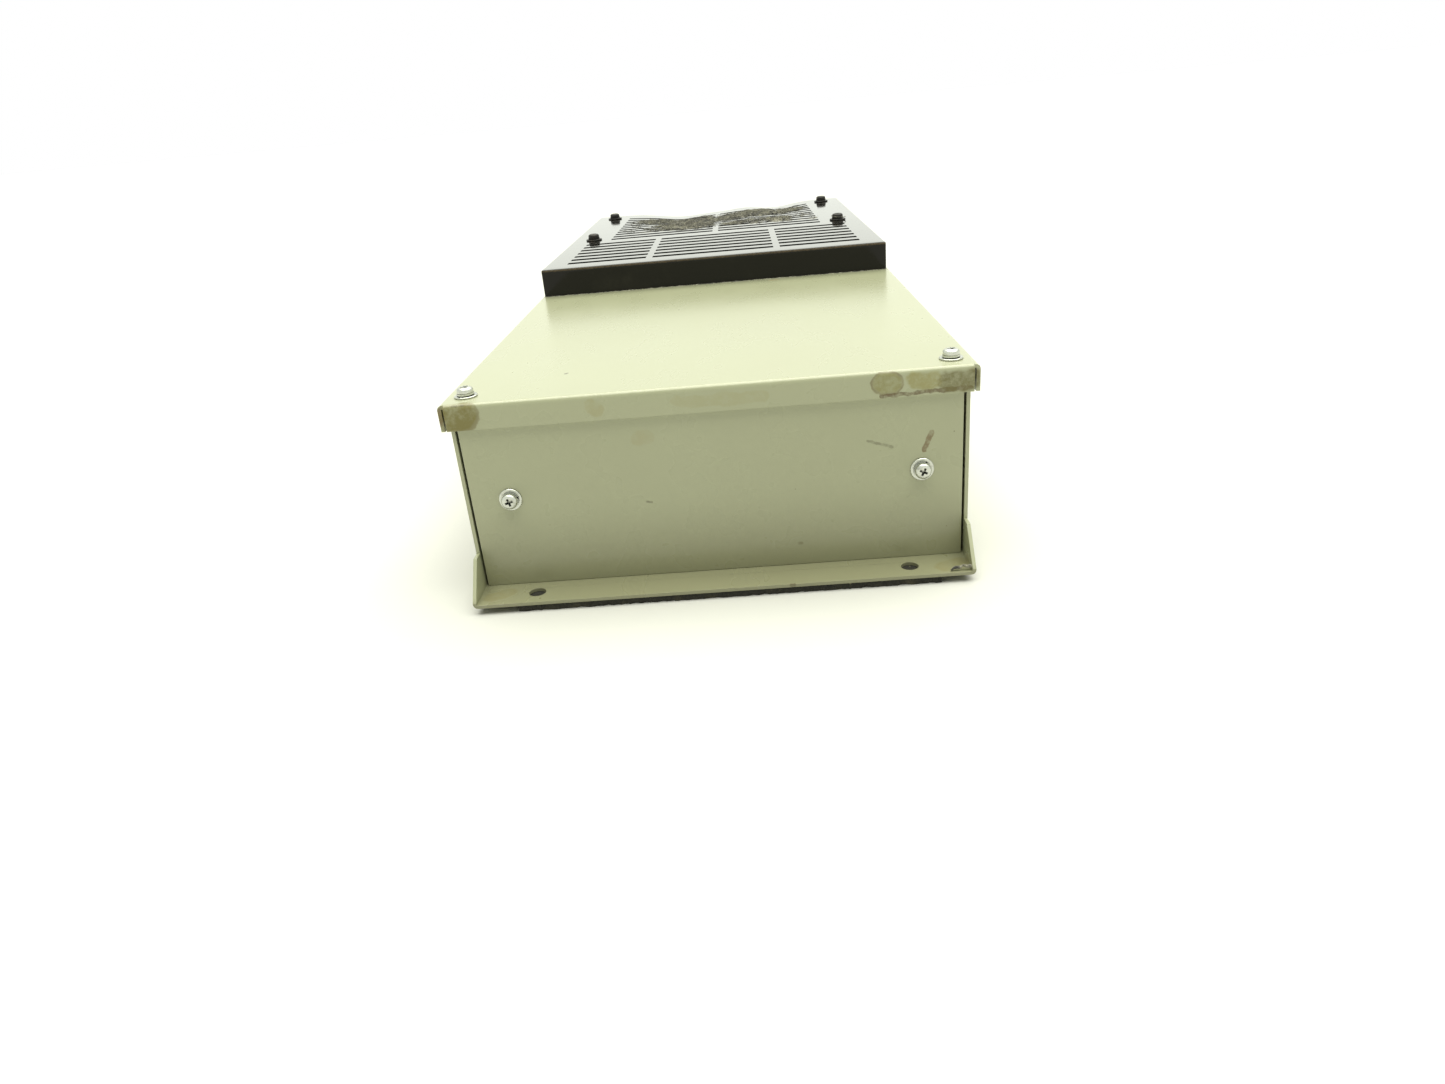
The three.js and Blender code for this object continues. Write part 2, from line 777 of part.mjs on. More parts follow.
// A folded strap with one hole for each capacitor, on a foot at each end of its long edges.
function capacitorClamp() {
  const y = capacitor_y;
  const half = capacitor_radius + clamp_margin;
  const z = floor_top + clamp_height;
  const end_x = body_inner - part_gap;
  const strap = box([-end_x, end_x], [y - half, y + half], [z, z + sheet]);
  const parts = [strap];
  const foot = floor_top + seat_gap;
  for (const side of Object.values(ends)) {
    const outer = y + side * half;
    const inner = outer - side * sheet;
    const toe = outer + side * clamp_foot;
    parts.push(box([-end_x, end_x], span(outer, inner), [z - clamp_skirt, z + sheet]));
    for (const x of [-1, 1]) {
      const leg = span(x * end_x, x * (end_x - clamp_leg));
      parts.push(box(leg, span(outer, inner), [foot, z + sheet]));
      parts.push(box(leg, span(inner, toe), [foot, foot + sheet]));
    }
  }
  const holes = capacitorPlaces().map((x) => drill(
    capacitor_radius + part_gap,
    'z',
    z - 1,
    z + sheet + 1,
    [x, y],
    20,
  ));
  return cut(join(...parts), ...holes);
}

const choke_left = -body_inner + left_bay_margin;
const choke_near = plain_end + choke_start;

function chokeCore() {
  const x = [choke_left, choke_left + choke_width];
  const z = [floor_top + seat_gap, floor_top + seat_gap + choke_height];
  const y = [choke_near + choke_length / 3, choke_near + (2 * choke_length) / 3];
  const block = box(x, y, z);
  const middle = (x[0] + x[1]) / 2;
  const leg = choke_leg / 2;
  const window_z = [z[0] + choke_leg, z[1] - choke_leg];
  const windows = [
    box([x[0] + choke_leg, middle - leg], [y[0] - 1, y[1] + 1], window_z),
    box([middle + leg, x[1] - choke_leg], [y[0] - 1, y[1] + 1], window_z),
  ];
  return cut(block, ...windows);
}

function chokeWinding() {
  const middle = choke_left + choke_width / 2;
  const z = [floor_top + choke_leg + 1, floor_top + choke_height - choke_leg - 1];
  const inner_y = [choke_near + choke_length / 3 - part_gap, choke_near + (2 * choke_length) / 3 + part_gap];
  const outer = choke_width / 2 - choke_leg - 1;
  const inner = choke_leg / 2 + part_gap;
  const wrap = outer - inner;
  const coil = box([middle - outer, middle + outer], [inner_y[0] - wrap, inner_y[1] + wrap], z);
  const hole = box([middle - inner, middle + inner], inner_y, [z[0] - 1, z[1] + 1]);
  return cut(coil, hole);
}

function powerTerminals() {
  const x0 = choke_left;
  const y0 = plain_end + terminal_start;
  const z0 = floor_top + seat_gap;
  const width = terminal_poles * terminal_pitch + 2;
  const parts = [box([x0, x0 + width], [y0, y0 + terminal_depth], [z0, z0 + terminal_height / 2])];
  for (let i = 0; i <= terminal_poles; i += 1) {
    const x = x0 + i * terminal_pitch;
    parts.push(box([x, x + 2], [y0, y0 + terminal_depth], [z0, z0 + terminal_height]));
  }
  for (let i = 0; i < terminal_poles; i += 1) {
    const centre = [x0 + (i + 0.5) * terminal_pitch + 1, y0 + terminal_depth / 2];
    parts.push(bar(3.4, 'z', z0 + 2, z0 + terminal_height / 2 + 3, centre, 8));
  }
  return join(...parts);
}

function prechargeRelay() {
  const [width, length, height] = relay_size;
  const x0 = shelf_left + shelf_foot + relay_margin;
  const y0 = plain_end + relay_start;
  const z0 = floor_top + seat_gap;
  const body = box([x0, x0 + width], [y0, y0 + length], [z0 + 4, z0 + height]);
  const socket = box([x0 - 2, x0 + width + 2], [y0 - 2, y0 + length + 2], [z0, z0 + 6]);
  return join(body, socket);
}

function groundStud() {
  const z0 = floor_top + seat_gap;
  const stud = bar(ground_stud_radius, 'z', z0, z0 + ground_stud_height, [0, 0], 12);
  const nut = bar(ground_nut_radius, 'z', z0, z0 + ground_nut_height, [0, 0], 6);
  return join(stud, nut);
}

// ---------------------------------------------------------------- control shelf

const shelf_right = body_inner - part_gap - 1;
const shelf_left = shelf_right - shelf_width;
const shelf_near = plain_end + shelf_start;
const shelf_far = shelf_near + shelf_length;
const capacitor_y = (shelf_far + sink_near) / 2;
const shelf_deck = floor_top + shelf_deck_height;
const board_floor = shelf_deck + sheet + board_standoff;
const board_top = board_floor + board_thickness;

function controlShelf() {
  const foot = floor_top + seat_gap;
  const deck = box([shelf_left, shelf_right], [shelf_near, shelf_far], [shelf_deck, shelf_deck + sheet]);
  const parts = [deck];
  const legs = [
    [shelf_left, shelf_left + sheet, shelf_left + shelf_foot],
    [shelf_right, shelf_right - sheet, shelf_right - shelf_foot],
  ];
  for (const [outer, inner, toe] of legs) {
    parts.push(box(span(outer, inner), [shelf_near, shelf_far], [foot, shelf_deck + sheet]));
    parts.push(box(span(outer, toe), [shelf_near, shelf_far], [foot, foot + sheet]));
  }
  for (const x of [shelf_left + board_margin + 4, shelf_right - board_margin - 4]) {
    for (const y of [shelf_near + board_margin + 4, shelf_far - board_margin - 4]) {
      parts.push(bar(3, 'z', shelf_deck, board_floor - seat_gap, [x, y], 8));
    }
  }
  return join(...parts);
}

const trimmer_y = shelf_near + board_margin + 40;
const trimmer_x = shelf_left + 24;
const button_x = trimmer_x + 2 * trimmer_spacing + 6;

function controlBoard() {
  const x = [shelf_left + board_margin, shelf_right - board_margin];
  const y = [shelf_near + board_margin, shelf_far - board_margin];
  const board = box(x, y, [board_floor, board_top]);
  const chips = [
    [28, 78, 14, 14, 2.4],
    [58, 72, 24, 10, 3],
    [58, 92, 24, 10, 3],
    [86, 88, 12, 16, 6],
    [24, 104, 30, 12, 4],
  ];
  const parts = chips.map(([dx, dy, width, length, height]) => {
    const cx = shelf_left + dx;
    const cy = shelf_near + dy;
    return box(
      [cx - width / 2, cx + width / 2],
      [cy - length / 2, cy + length / 2],
      [board_top - board_thickness / 2, board_top + height],
    );
  });
  return join(board, ...parts);
}

function controlTerminals() {
  const width = control_poles * control_pitch;
  const z0 = board_top + seat_gap;
  const x0 = (shelf_left + shelf_right - width) / 2;
  const y0 = shelf_near + board_margin + 2;
  const body = box([x0, x0 + width], [y0, y0 + 9], [z0, z0 + 10]);
  const tools = [];
  for (let i = 0; i < control_poles; i += 1) {
    const x = x0 + (i + 0.5) * control_pitch;
    tools.push(box([x - 1.6, x + 1.6], [y0 - 1, y0 + 3], [z0 + 2, z0 + 6]));
  }
  return cut(body, ...tools);
}

function trimmerBody() {
  const half = trimmer_size / 2;
  const block = box([-half, half], [-half, half], [0, trimmer_height]);
  const well = drill(trimmer_radius + part_gap, 'z', trimmer_height - 2.2, trimmer_height + 1, [0, 0], 16);
  return cut(block, well);
}

// The slotted wiper screw of a trimmer; its slot points along +Y at rest.
function trimmerScrew() {
  const floor = trimmer_height - 2;
  const disc = bar(trimmer_radius, 'z', floor, trimmer_height + 0.8, [0, 0], 16);
  const slot_y = [-trimmer_radius - 1, trimmer_radius * 0.7];
  const slot = box([-0.5, 0.5], slot_y, [trimmer_height - 0.2, trimmer_height + 2]);
  return cut(disc, slot);
}

function buttonBody() {
  const half = button_size / 2;
  const block = box([-half, half], [-half, half], [0, button_height]);
  const well = drill(button_cap_radius + part_gap, 'z', 1.5, button_height + 1, [0, 0], 16);
  return cut(block, well);
}

function buttonCap() {
  const bottom = 1.5 + button_travel + part_gap;
  const top = button_height + button_cap_height;
  return turned([
    [0, bottom],
    [button_cap_radius, bottom],
    [button_cap_radius, top - 0.6],
    [button_cap_radius - 0.6, top],
    [0, top],
  ], 16);
}

// ---------------------------------------------------------------- assembly

const enclosure = new THREE.Group();
addPiece(enclosure, 'base_pan', basePan(), 'beige_paint');
addPiece(enclosure, 'near_end_panel', endPanel(ends.near), 'beige_paint');
addPiece(enclosure, 'far_end_panel', endPanel(ends.far), 'beige_paint');
addPiece(enclosure, 'front_cover', frontCover(), 'beige_paint');
addPiece(enclosure, 'vent_hood', ventHood(), 'brown_black_plastic');
addPiece(enclosure, 'gasket_near', gasketStrip('y', ends.near), 'foam_rubber');
addPiece(enclosure, 'gasket_far', gasketStrip('y', ends.far), 'foam_rubber');
addPiece(enclosure, 'gasket_left', gasketStrip('x', sides.left), 'foam_rubber');
addPiece(enclosure, 'gasket_right', gasketStrip('x', sides.right), 'foam_rubber');

const fasteners = new THREE.Group();
const zinc_screw = washerScrew(case_screw);
const black_screw = washerScrew(hood_screw);
for (const [side_name, side] of Object.entries(sides)) {
  for (const [end_name, end] of Object.entries(ends)) {
    const name = `${end_name}_panel_screw_${side_name}`;
    const place = [side * panel_screw_x, end * panel_face, panel_screw_z];
    addPiece(fasteners, name, zinc_screw, 'zinc', place, [(-end * Math.PI) / 2, 0, 0]);
  }
  const cover_place = [side * cover_screw_x, cover_screw_y, cover_top];
  addPiece(fasteners, `cover_screw_${side_name}`, zinc_screw, 'zinc', cover_place);
  for (const [i, end_name] of Object.keys(ends).entries()) {
    const name = `${end_name}_${side_name}`;
    const place = [side * hood_screw_x, hood_screw_ys[i]];
    addPiece(fasteners, `hood_screw_${name}`, black_screw, 'black_oxide', [...place, hood_top]);
    addPiece(fasteners, `hood_post_${name}`, hexPost(), 'zinc', [...place, 0]);
  }
}

const grommets = new THREE.Group();
for (let i = 0; i < grommet_count; i += 1) {
  const y = plain_end + grommet_first + i * grommet_pitch;
  const place = [-(body_half + body_inner) / 2, y, floor_top + grommet_height];
  addPiece(grommets, `cable_grommet_${i + 1}`, membraneGrommet(), 'rubber', place, [0, -Math.PI / 2, 0]);
}

const cooling = new THREE.Group();
addPiece(cooling, 'heat_sink', heatSink(), 'aluminium');
addPiece(cooling, 'fan_tray', fanTray(), 'zinc');
for (const [name, x, y] of fanPlaces()) {
  addPiece(cooling, `fan_frame_${name}`, fanFrame(), 'black_plastic', [x, y, fan_floor]);
  addPiece(cooling, `fan_rotor_${name}`, fanRotor(), 'black_plastic', [x, y, fan_floor]);
}

const power = new THREE.Group();
const rectifier_place = [-sink_half + rectifier_width / 2 + module_side_margin, module_near, module_floor];
const inverter_place = [sink_half - inverter_width / 2 - module_side_margin, module_near, module_floor];
addPiece(power, 'rectifier_module', powerModule(rectifier_width, 3), 'module_resin', rectifier_place);
addPiece(power, 'inverter_module', powerModule(inverter_width, 5), 'module_resin', inverter_place);
addPiece(power, 'power_board', powerBoard(), 'green_board');
for (const [i, x] of capacitorPlaces().entries()) {
  const place = [x, capacitor_y, 0];
  addPiece(power, `dc_capacitor_${i + 1}`, capacitor(), 'capacitor_sleeve', place);
}
addPiece(power, 'capacitor_clamp', capacitorClamp(), 'zinc');
addPiece(power, 'choke_core', chokeCore(), 'silicon_steel');
addPiece(power, 'choke_winding', chokeWinding(), 'copper_enamel');
addPiece(power, 'power_terminal_block', powerTerminals(), 'black_plastic');
addPiece(power, 'precharge_relay', prechargeRelay(), 'white_plastic');
const stud_x = choke_left + terminal_poles * terminal_pitch + ground_stud_gap;
const stud_y = plain_end + terminal_start + terminal_depth / 2;
addPiece(power, 'ground_stud', groundStud(), 'brass', [stud_x, stud_y, 0]);

const control = new THREE.Group();
addPiece(control, 'control_shelf', controlShelf(), 'zinc');
addPiece(control, 'control_board', controlBoard(), 'green_board');
addPiece(control, 'control_terminal_block', controlTerminals(), 'green_plastic');
const part_floor = board_top + seat_gap;
for (const [i, name] of ['speed', 'torque'].entries()) {
  const place = [trimmer_x + i * trimmer_spacing, trimmer_y, part_floor];
  addPiece(control, `${name}_trimmer_body`, trimmerBody(), 'blue_plastic', place);
  addPiece(control, `${name}_trimmer_screw`, trimmerScrew(), 'white_plastic', place);
}
addPiece(control, 'reset_button_body', buttonBody(), 'black_plastic', [button_x, trimmer_y, part_floor]);
addPiece(control, 'reset_button_cap', buttonCap(), 'red_plastic', [button_x, trimmer_y, part_floor]);

drive.add(enclosure, fasteners, grommets, cooling, power, control);

export default drive;
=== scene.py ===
"""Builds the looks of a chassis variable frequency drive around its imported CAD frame.

The drive is a folded, enamelled steel case with a moulded vent hood over four fans. Everything
is in metres in the frame's own axes: +X right, +Y from the plain end to the fan end, +Z up.
"""

import functools
import json
import math
import random

import bmesh
import bpy
from mathutils import Matrix, Vector, noise


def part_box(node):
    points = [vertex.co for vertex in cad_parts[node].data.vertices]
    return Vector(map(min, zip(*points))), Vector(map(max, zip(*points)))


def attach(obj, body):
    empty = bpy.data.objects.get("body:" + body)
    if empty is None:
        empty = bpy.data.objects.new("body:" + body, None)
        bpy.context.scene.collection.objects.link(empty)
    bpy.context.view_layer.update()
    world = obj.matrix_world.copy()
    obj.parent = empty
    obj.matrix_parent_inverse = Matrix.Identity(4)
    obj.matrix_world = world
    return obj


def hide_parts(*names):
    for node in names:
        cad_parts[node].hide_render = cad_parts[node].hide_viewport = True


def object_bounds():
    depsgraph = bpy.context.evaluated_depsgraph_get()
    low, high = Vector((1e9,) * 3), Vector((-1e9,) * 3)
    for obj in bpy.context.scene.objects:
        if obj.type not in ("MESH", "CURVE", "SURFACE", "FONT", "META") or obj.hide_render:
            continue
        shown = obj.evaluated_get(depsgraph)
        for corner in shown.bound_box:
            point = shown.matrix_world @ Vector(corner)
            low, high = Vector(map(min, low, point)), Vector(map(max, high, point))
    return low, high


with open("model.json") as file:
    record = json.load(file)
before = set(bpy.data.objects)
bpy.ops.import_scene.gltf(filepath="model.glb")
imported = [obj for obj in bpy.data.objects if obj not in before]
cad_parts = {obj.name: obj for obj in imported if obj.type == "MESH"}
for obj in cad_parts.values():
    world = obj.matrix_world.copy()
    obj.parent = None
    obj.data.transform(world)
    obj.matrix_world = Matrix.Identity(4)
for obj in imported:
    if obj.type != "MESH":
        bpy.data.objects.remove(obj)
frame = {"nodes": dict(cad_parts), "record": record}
CAD_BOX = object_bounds()

bl_info = {
    "name": "Variable Frequency Drive Looks",
    "version": (1, 0, 0),
    "blender": (4, 5, 0),
    "location": "View3D > Sidebar > Drive",
    "description": "Adds the finished shells, fasteners, seals, dust and materials of a motor drive",
    "category": "Object",
}

MM = 0.001
BODY = "drive"
EPS = 1e-5


def plain(box):
    """A box as plain lists of numbers."""
    return [[float(value) for value in corner] for corner in box]


CAD_BOX = plain(CAD_BOX)


# ------------------------------------------------------------------ places read from the frame


@functools.cache
def low_high(node):
    """Lowest and highest corner of a CAD node, read once."""
    low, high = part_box(node)
    return Vector(low).freeze(), Vector(high).freeze()


def centre_of(node):
    low, high = low_high(node)
    return (low + high) / 2


def slot_rectangles():
    """The hood's slots as (x0, x1, y0, y1), read from the corners in its top face."""
    low, high = low_high("vent_hood")
    screws = [centre_of(name) for name in frame["nodes"] if name.startswith("hood_screw")]
    rows = {}
    for vertex in frame["nodes"]["vent_hood"].data.vertices:
        point = vertex.co
        on_rim = min(point.x - low.x, high.x - point.x, point.y - low.y, high.y - point.y) < MM
        near_screw = any((point - screw).xy.length < 5 * MM for screw in screws)
        if high.z - point.z < EPS and not on_rim and not near_screw:
            rows.setdefault(round(point.y, 5), set()).add(round(point.x, 5))
    edges = sorted(rows)
    slots = []
    for y0, y1 in zip(edges[::2], edges[1::2]):
        xs = sorted(rows[y0] & rows[y1])
        slots += [(x0, x1, y0, y1) for x0, x1 in zip(xs[::2], xs[1::2])]
    return slots


# ------------------------------------------------------------------ settings


def length(name, about, default, **more):
    return bpy.props.FloatProperty(
        name=name, description=about, default=default, subtype="DISTANCE", unit="LENGTH", precision=5, **more
    )


def colour(name, about, default):
    return bpy.props.StringProperty(name=name, description=about + ", as an sRGB hex value", default=default)


class DriveSheetSettings(bpy.types.PropertyGroup):
    """Folded steel parts and their enamel."""

    thickness: length("Sheet", "Thickness of the steel sheet", 1.6 * MM)
    bend: length("Bend radius", "Outside radius of a fold", 2.3 * MM)
    edge: length("Edge break", "Radius left on a cut edge by paint", 0.3 * MM)
    corner_gap: length("Corner gap", "Open slit between two folded lips", 0.8 * MM)
    enamel: colour("Enamel", "Colour of the baked enamel", "#A6A98A")
    grime: colour("Grime", "Colour of the old adhesive on the lip", "#6E6628")


class DriveHoodSettings(bpy.types.PropertyGroup):
    """Moulded vent hood."""

    wall: length("Wall", "Wall of the moulding", 2.0 * MM)
    rim: length("Outer radius", "Radius along the outer edges", 1.1 * MM)
    slot_rim: length("Slot radius", "Radius along the slots", 0.15 * MM)
    sag: length("Sag", "How far heat has let the far edge sink", 5.0 * MM)
    plastic: colour("Plastic", "Colour of the moulding", "#17150F")
    dust: colour("Dust", "Colour of the dust on it", "#8C8877")


class DriveScrewSettings(bpy.types.PropertyGroup):
    """Screws with captive spring and flat washers."""

    recess: length("Recess depth", "Depth of the cross recess", 1.7 * MM)
    zinc: colour("Zinc", "Colour of the bright zinc plate", "#C4C6BE")
    black: colour("Black oxide", "Colour of the blackened screws", "#2A2927")


class DriveLintSettings(bpy.types.PropertyGroup):
    """Lint caught on the intake grille."""

    fibres: bpy.props.IntProperty(name="Fibres", description="Number of loose fibres", default=2600, min=0)
    fibre_radius: length("Fibre radius", "Radius of a twisted fibre as drawn", 0.14 * MM)
    seed: bpy.props.IntProperty(name="Seed", description="Start of the random draws", default=7)
    dark: colour("Dark lint", "Colour of the packed lint", "#2E2C25")
    light: colour("Light lint", "Colour of the loose fibres", "#B4B19B")


class DriveStageSettings(bpy.types.PropertyGroup):
    """Floor, lights and camera."""

    lens: bpy.props.FloatProperty(name="Lens", description="Focal length for a 36 mm wide sensor", default=23.99)
    floor: colour("Floor", "Colour of the floor", "#CFCFCB")
    sky: bpy.props.FloatProperty(name="Sky", description="Brightness of the tent around the drive", default=0.30)
    key: bpy.props.FloatProperty(name="Key", description="Strength of the overhead light", default=5.4)


SETTINGS = {
    "drive_sheet": DriveSheetSettings,
    "drive_hood": DriveHoodSettings,
    "drive_screws": DriveScrewSettings,
    "drive_lint": DriveLintSettings,
    "drive_stage": DriveStageSettings,
}


# ------------------------------------------------------------------ mesh helpers


def put(name, bm, materials, replaces=(), smooth=35):
    """Makes a piece from a bmesh: its normals, materials and body, and hides the CAD nodes it stands for."""
    bmesh.ops.recalc_face_normals(bm, faces=bm.faces)
    mesh = bpy.data.meshes.new(name)
    bm.to_mesh(mesh)
    bm.free()
    piece = bpy.data.objects.new(name, mesh)
    bpy.context.scene.collection.objects.link(piece)
    for material in materials:
        mesh.materials.append(material)
    shade(piece, smooth)
    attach(piece, BODY)
    if replaces:
        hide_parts(*replaces)
    return piece


def shade(piece, angle):
    """Smooth shading with sharp edges above an angle in degrees."""
    for polygon in piece.data.polygons:
        polygon.use_smooth = True
    piece.data.set_sharp_from_angle(angle=math.radians(angle))


def modify(piece, kind, **settings):
    """Adds a modifier and applies it to the piece's own mesh."""
    modifier = piece.modifiers.new(kind.title(), kind)
    for key, value in settings.items():
        setattr(modifier, key, value)
    graph = bpy.context.evaluated_depsgraph_get()
    made = bpy.data.meshes.new_from_object(piece.evaluated_get(graph))
    old = piece.data
    piece.modifiers.clear()
    piece.data = made
    made.name = old.name
    bpy.data.meshes.remove(old)


def thicken(piece, thickness):
    modify(piece, "SOLIDIFY", thickness=thickness, offset=-1, use_even_offset=True, use_quality_normals=True)


def soften(piece, width, segments=2, angle=40):
    """Rounds every edge sharper than an angle."""
    modify(
        piece,
        "BEVEL",
        width=width,
        segments=segments,
        limit_method="ANGLE",
        angle_limit=math.radians(angle),
        harden_normals=False,
        use_clamp_overlap=True,
    )
    shade(piece, 35)


def cylinder_bm(bm, radius, height, matrix, segments=32):
    bmesh.ops.create_cone(
        bm,
        cap_ends=True,
        segments=segments,
        radius1=radius,
        radius2=radius,
        depth=height,
        matrix=matrix,
    )


def along(axis):
    """Turns +Z to an axis."""
    return Vector((0, 0, 1)).rotation_difference(Vector(axis)).to_matrix().to_4x4()


def drill(piece, holes):
    """Cuts round holes: each is (centre, axis, radius, depth)."""
    bm = bmesh.new()
    for centre, axis, radius, depth in holes:
        cylinder_bm(bm, radius, depth, Matrix.Translation(centre) @ along(axis))
    subtract(piece, bm)


def subtract(piece, bm):
    """Cuts the solid in a bmesh out of a piece."""
    mesh = bpy.data.meshes.new("cutter")
    bm.to_mesh(mesh)
    bm.free()
    cutter = bpy.data.objects.new("cutter", mesh)
    bpy.context.scene.collection.objects.link(cutter)
    bpy.context.view_layer.update()
    modify(piece, "BOOLEAN", operation="DIFFERENCE", object=cutter, solver="EXACT")
    bpy.data.objects.remove(cutter)
    bpy.data.meshes.remove(mesh)


def stations(start, stop, step):
    """Evenly spaced places from start to stop, no further apart than step."""
    count = max(1, math.ceil(abs(stop - start) / step - EPS))
    return [start + (stop - start) * i / count for i in range(count + 1)]


def merged(*lists):
    """Sorted places without near duplicates."""
    places = []
    for value in sorted(v for values in lists for v in values):
        if not places or value - places[-1] > EPS:
            places.append(value)
    return places


def filled(lines, step):
    """The lines, with more between them where they stand far apart."""
    return merged(*[stations(a, b, step) for a, b in zip(lines, lines[1:])])


def skin(bm, us, vs, place, keep=None):
    """A grid of faces at place(u, v); keep(u, v) at a face's middle says whether it is there."""
    rows = {}

    def corner(i, j):
        if (i, j) not in rows:
            rows[i, j] = bm.verts.new(place(us[i], vs[j]))
        return rows[i, j]

    for i in range(len(us) - 1):
        for j in range(len(vs) - 1):
            middle = ((us[i] + us[i + 1]) / 2, (vs[j] + vs[j + 1]) / 2)
            if keep is None or keep(*middle):
                bm.faces.new((corner(i, j), corner(i + 1, j), corner(i + 1, j + 1), corner(i, j + 1)))


def weld(bm, distance=2e-6):
    bmesh.ops.remove_doubles(bm, verts=bm.verts, dist=distance)


def turned(bm, profile, segments, matrix=None):
    """Revolves (radius, height) pairs about +Z; ends on the axis close the solid."""
    matrix = matrix or Matrix()
    rings = []
    for radius, height in profile:
        if radius < EPS:
            rings.append([bm.verts.new(matrix @ Vector((0, 0, height)))])
            continue
        ring = []
        for i in range(segments):
            angle = 2 * math.pi * i / segments
            ring.append(bm.verts.new(matrix @ Vector((radius * math.cos(angle), radius * math.sin(angle), height))))
        rings.append(ring)
    for lower, upper in zip(rings, rings[1:]):
        for i in range(segments):
            j = (i + 1) % segments
            corners = [lower[i % len(lower)], lower[j % len(lower)], upper[j % len(upper)], upper[i % len(upper)]]
            unique = list(dict.fromkeys(corners))
            if len(unique) > 2:
                bm.faces.new(unique)


def rounded(points, radius, steps=3):
    """A closed or open outline with its inner corners replaced by short arcs."""
    out = [points[0]]
    for before, at, after in zip(points, points[1:], points[2:]):
        a = Vector(before) - Vector(at)
        b = Vector(after) - Vector(at)
        reach = min(radius, a.length * 0.45, b.length * 0.45)
        start = Vector(at) + a.normalized() * reach
        stop = Vector(at) + b.normalized() * reach
        for i in range(steps + 1):
            t = i / steps
            out.append(tuple(start * (1 - t) ** 2 + Vector(at) * 2 * t * (1 - t) + stop * t**2))
    out.append(points[-1])
    return out


# ------------------------------------------------------------------ material helpers


def linear(hex_value, alpha=1.0):
    """An sRGB hex colour as linear RGBA."""
    channels = [int(hex_value.lstrip("#")[i : i + 2], 16) / 255 for i in (0, 2, 4)]
    return tuple(c / 12.92 if c <= 0.04045 else ((c + 0.055) / 1.055) ** 2.4 for c in channels) + (alpha,)


def add_node(tree, kind, inputs=None, **settings):
    """Adds a node with its settings, and fills its inputs with values or links."""
    made = tree.nodes.new(kind)
    for key, value in settings.items():
        setattr(made, key, value)
    for key, value in (inputs or {}).items():
        if isinstance(value, bpy.types.NodeSocket):
            tree.links.new(value, made.inputs[key])
        else:
            made.inputs[key].default_value = value
    return made


def new_material(name, hex_value, roughness, metallic=0.0, **shader):
    """A material with one Principled shader; returns it with its tree, shader and position socket."""
    material = bpy.data.materials.new(name)
    material.use_nodes = True
    tree = material.node_tree
    tree.nodes.clear()
    values = {"Base Color": linear(hex_value), "Roughness": roughness, "Metallic": metallic, **shader}
    surface = add_node(tree, "ShaderNodeBsdfPrincipled", values)
    add_node(tree, "ShaderNodeOutputMaterial", {"Surface": surface.outputs["BSDF"]})
    material.diffuse_color = linear(hex_value)
    place = add_node(tree, "ShaderNodeTexCoord").outputs["Object"]
    return material, tree, surface, place


def noise_at(tree, place, size, detail=3.0, roughness=0.5, stretch=None):
    """Noise whose lumps are about `size` metres across, from 0 to 1."""
    if stretch:
        place = add_node(tree, "ShaderNodeMapping", {"Vector": place, "Scale": stretch}).outputs["Vector"]
    inputs = {"Vector": place, "Scale": 1 / size, "Detail": detail, "Roughness": roughness}
    return add_node(tree, "ShaderNodeTexNoise", inputs).outputs["Fac"]


def ramp(tree, value, low, high, to_low=0.0, to_high=1.0):
    """Maps low..high to to_low..to_high, held at both ends."""
    inputs = {"Value": value, "From Min": low, "From Max": high, "To Min": to_low, "To Max": to_high}
    return add_node(tree, "ShaderNodeMapRange", inputs, interpolation_type="SMOOTHSTEP").outputs["Result"]


def calc(tree, operation, a, b=0.5):
    return add_node(tree, "ShaderNodeMath", {0: a, 1: b}, operation=operation).outputs["Value"]


def mix_colour(tree, factor, a, b, blend="MIX"):
    made = add_node(tree, "ShaderNodeMix", None, data_type="RGBA", blend_type=blend)
    for key, value in zip((0, 6, 7), (factor, a, b)):
        if isinstance(value, bpy.types.NodeSocket):
            tree.links.new(value, made.inputs[key])
        else:
            made.inputs[key].default_value = value
    return made.outputs[2]


def bump(tree, surface, height, distance, strength=1.0, under=None):
    """Raises the surface by a height field, on top of another bump if one is given."""
    inputs = {"Height": height, "Distance": distance, "Strength": strength}
    if under is not None:
        inputs["Normal"] = under
    normal = add_node(tree, "ShaderNodeBump", inputs).outputs["Normal"]
    tree.links.new(normal, surface.inputs["Normal"])
    return normal


def vector_math(tree, operation, a, b=None, output=0):
    inputs = {0: a}
    if b is not None:
        inputs[3 if operation == "SCALE" else 1] = b
    return add_node(tree, "ShaderNodeVectorMath", inputs, operation=operation).outputs[output]


def stroke_mask(tree, place, start, stop, radius, soft):
    """1 along a stroke from start to stop with round ends, falling to 0 at its radius."""
    start, stop = Vector(start), Vector(stop)
    run = stop - start
    away = vector_math(tree, "SUBTRACT", place, tuple(start))
    share = vector_math(tree, "DOT_PRODUCT", away, tuple(run / max(run.length_squared, 1e-9)), 1)
    share = add_node(tree, "ShaderNodeClamp", {0: share}).outputs[0]
    foot = add_node(tree, "ShaderNodeVectorMath", {0: tuple(run), 3: share}, operation="SCALE").outputs[0]
    reach = vector_math(tree, "LENGTH", vector_math(tree, "SUBTRACT", away, foot), None, 1)
    return ramp(tree, reach, radius, radius * (1.0 - soft))


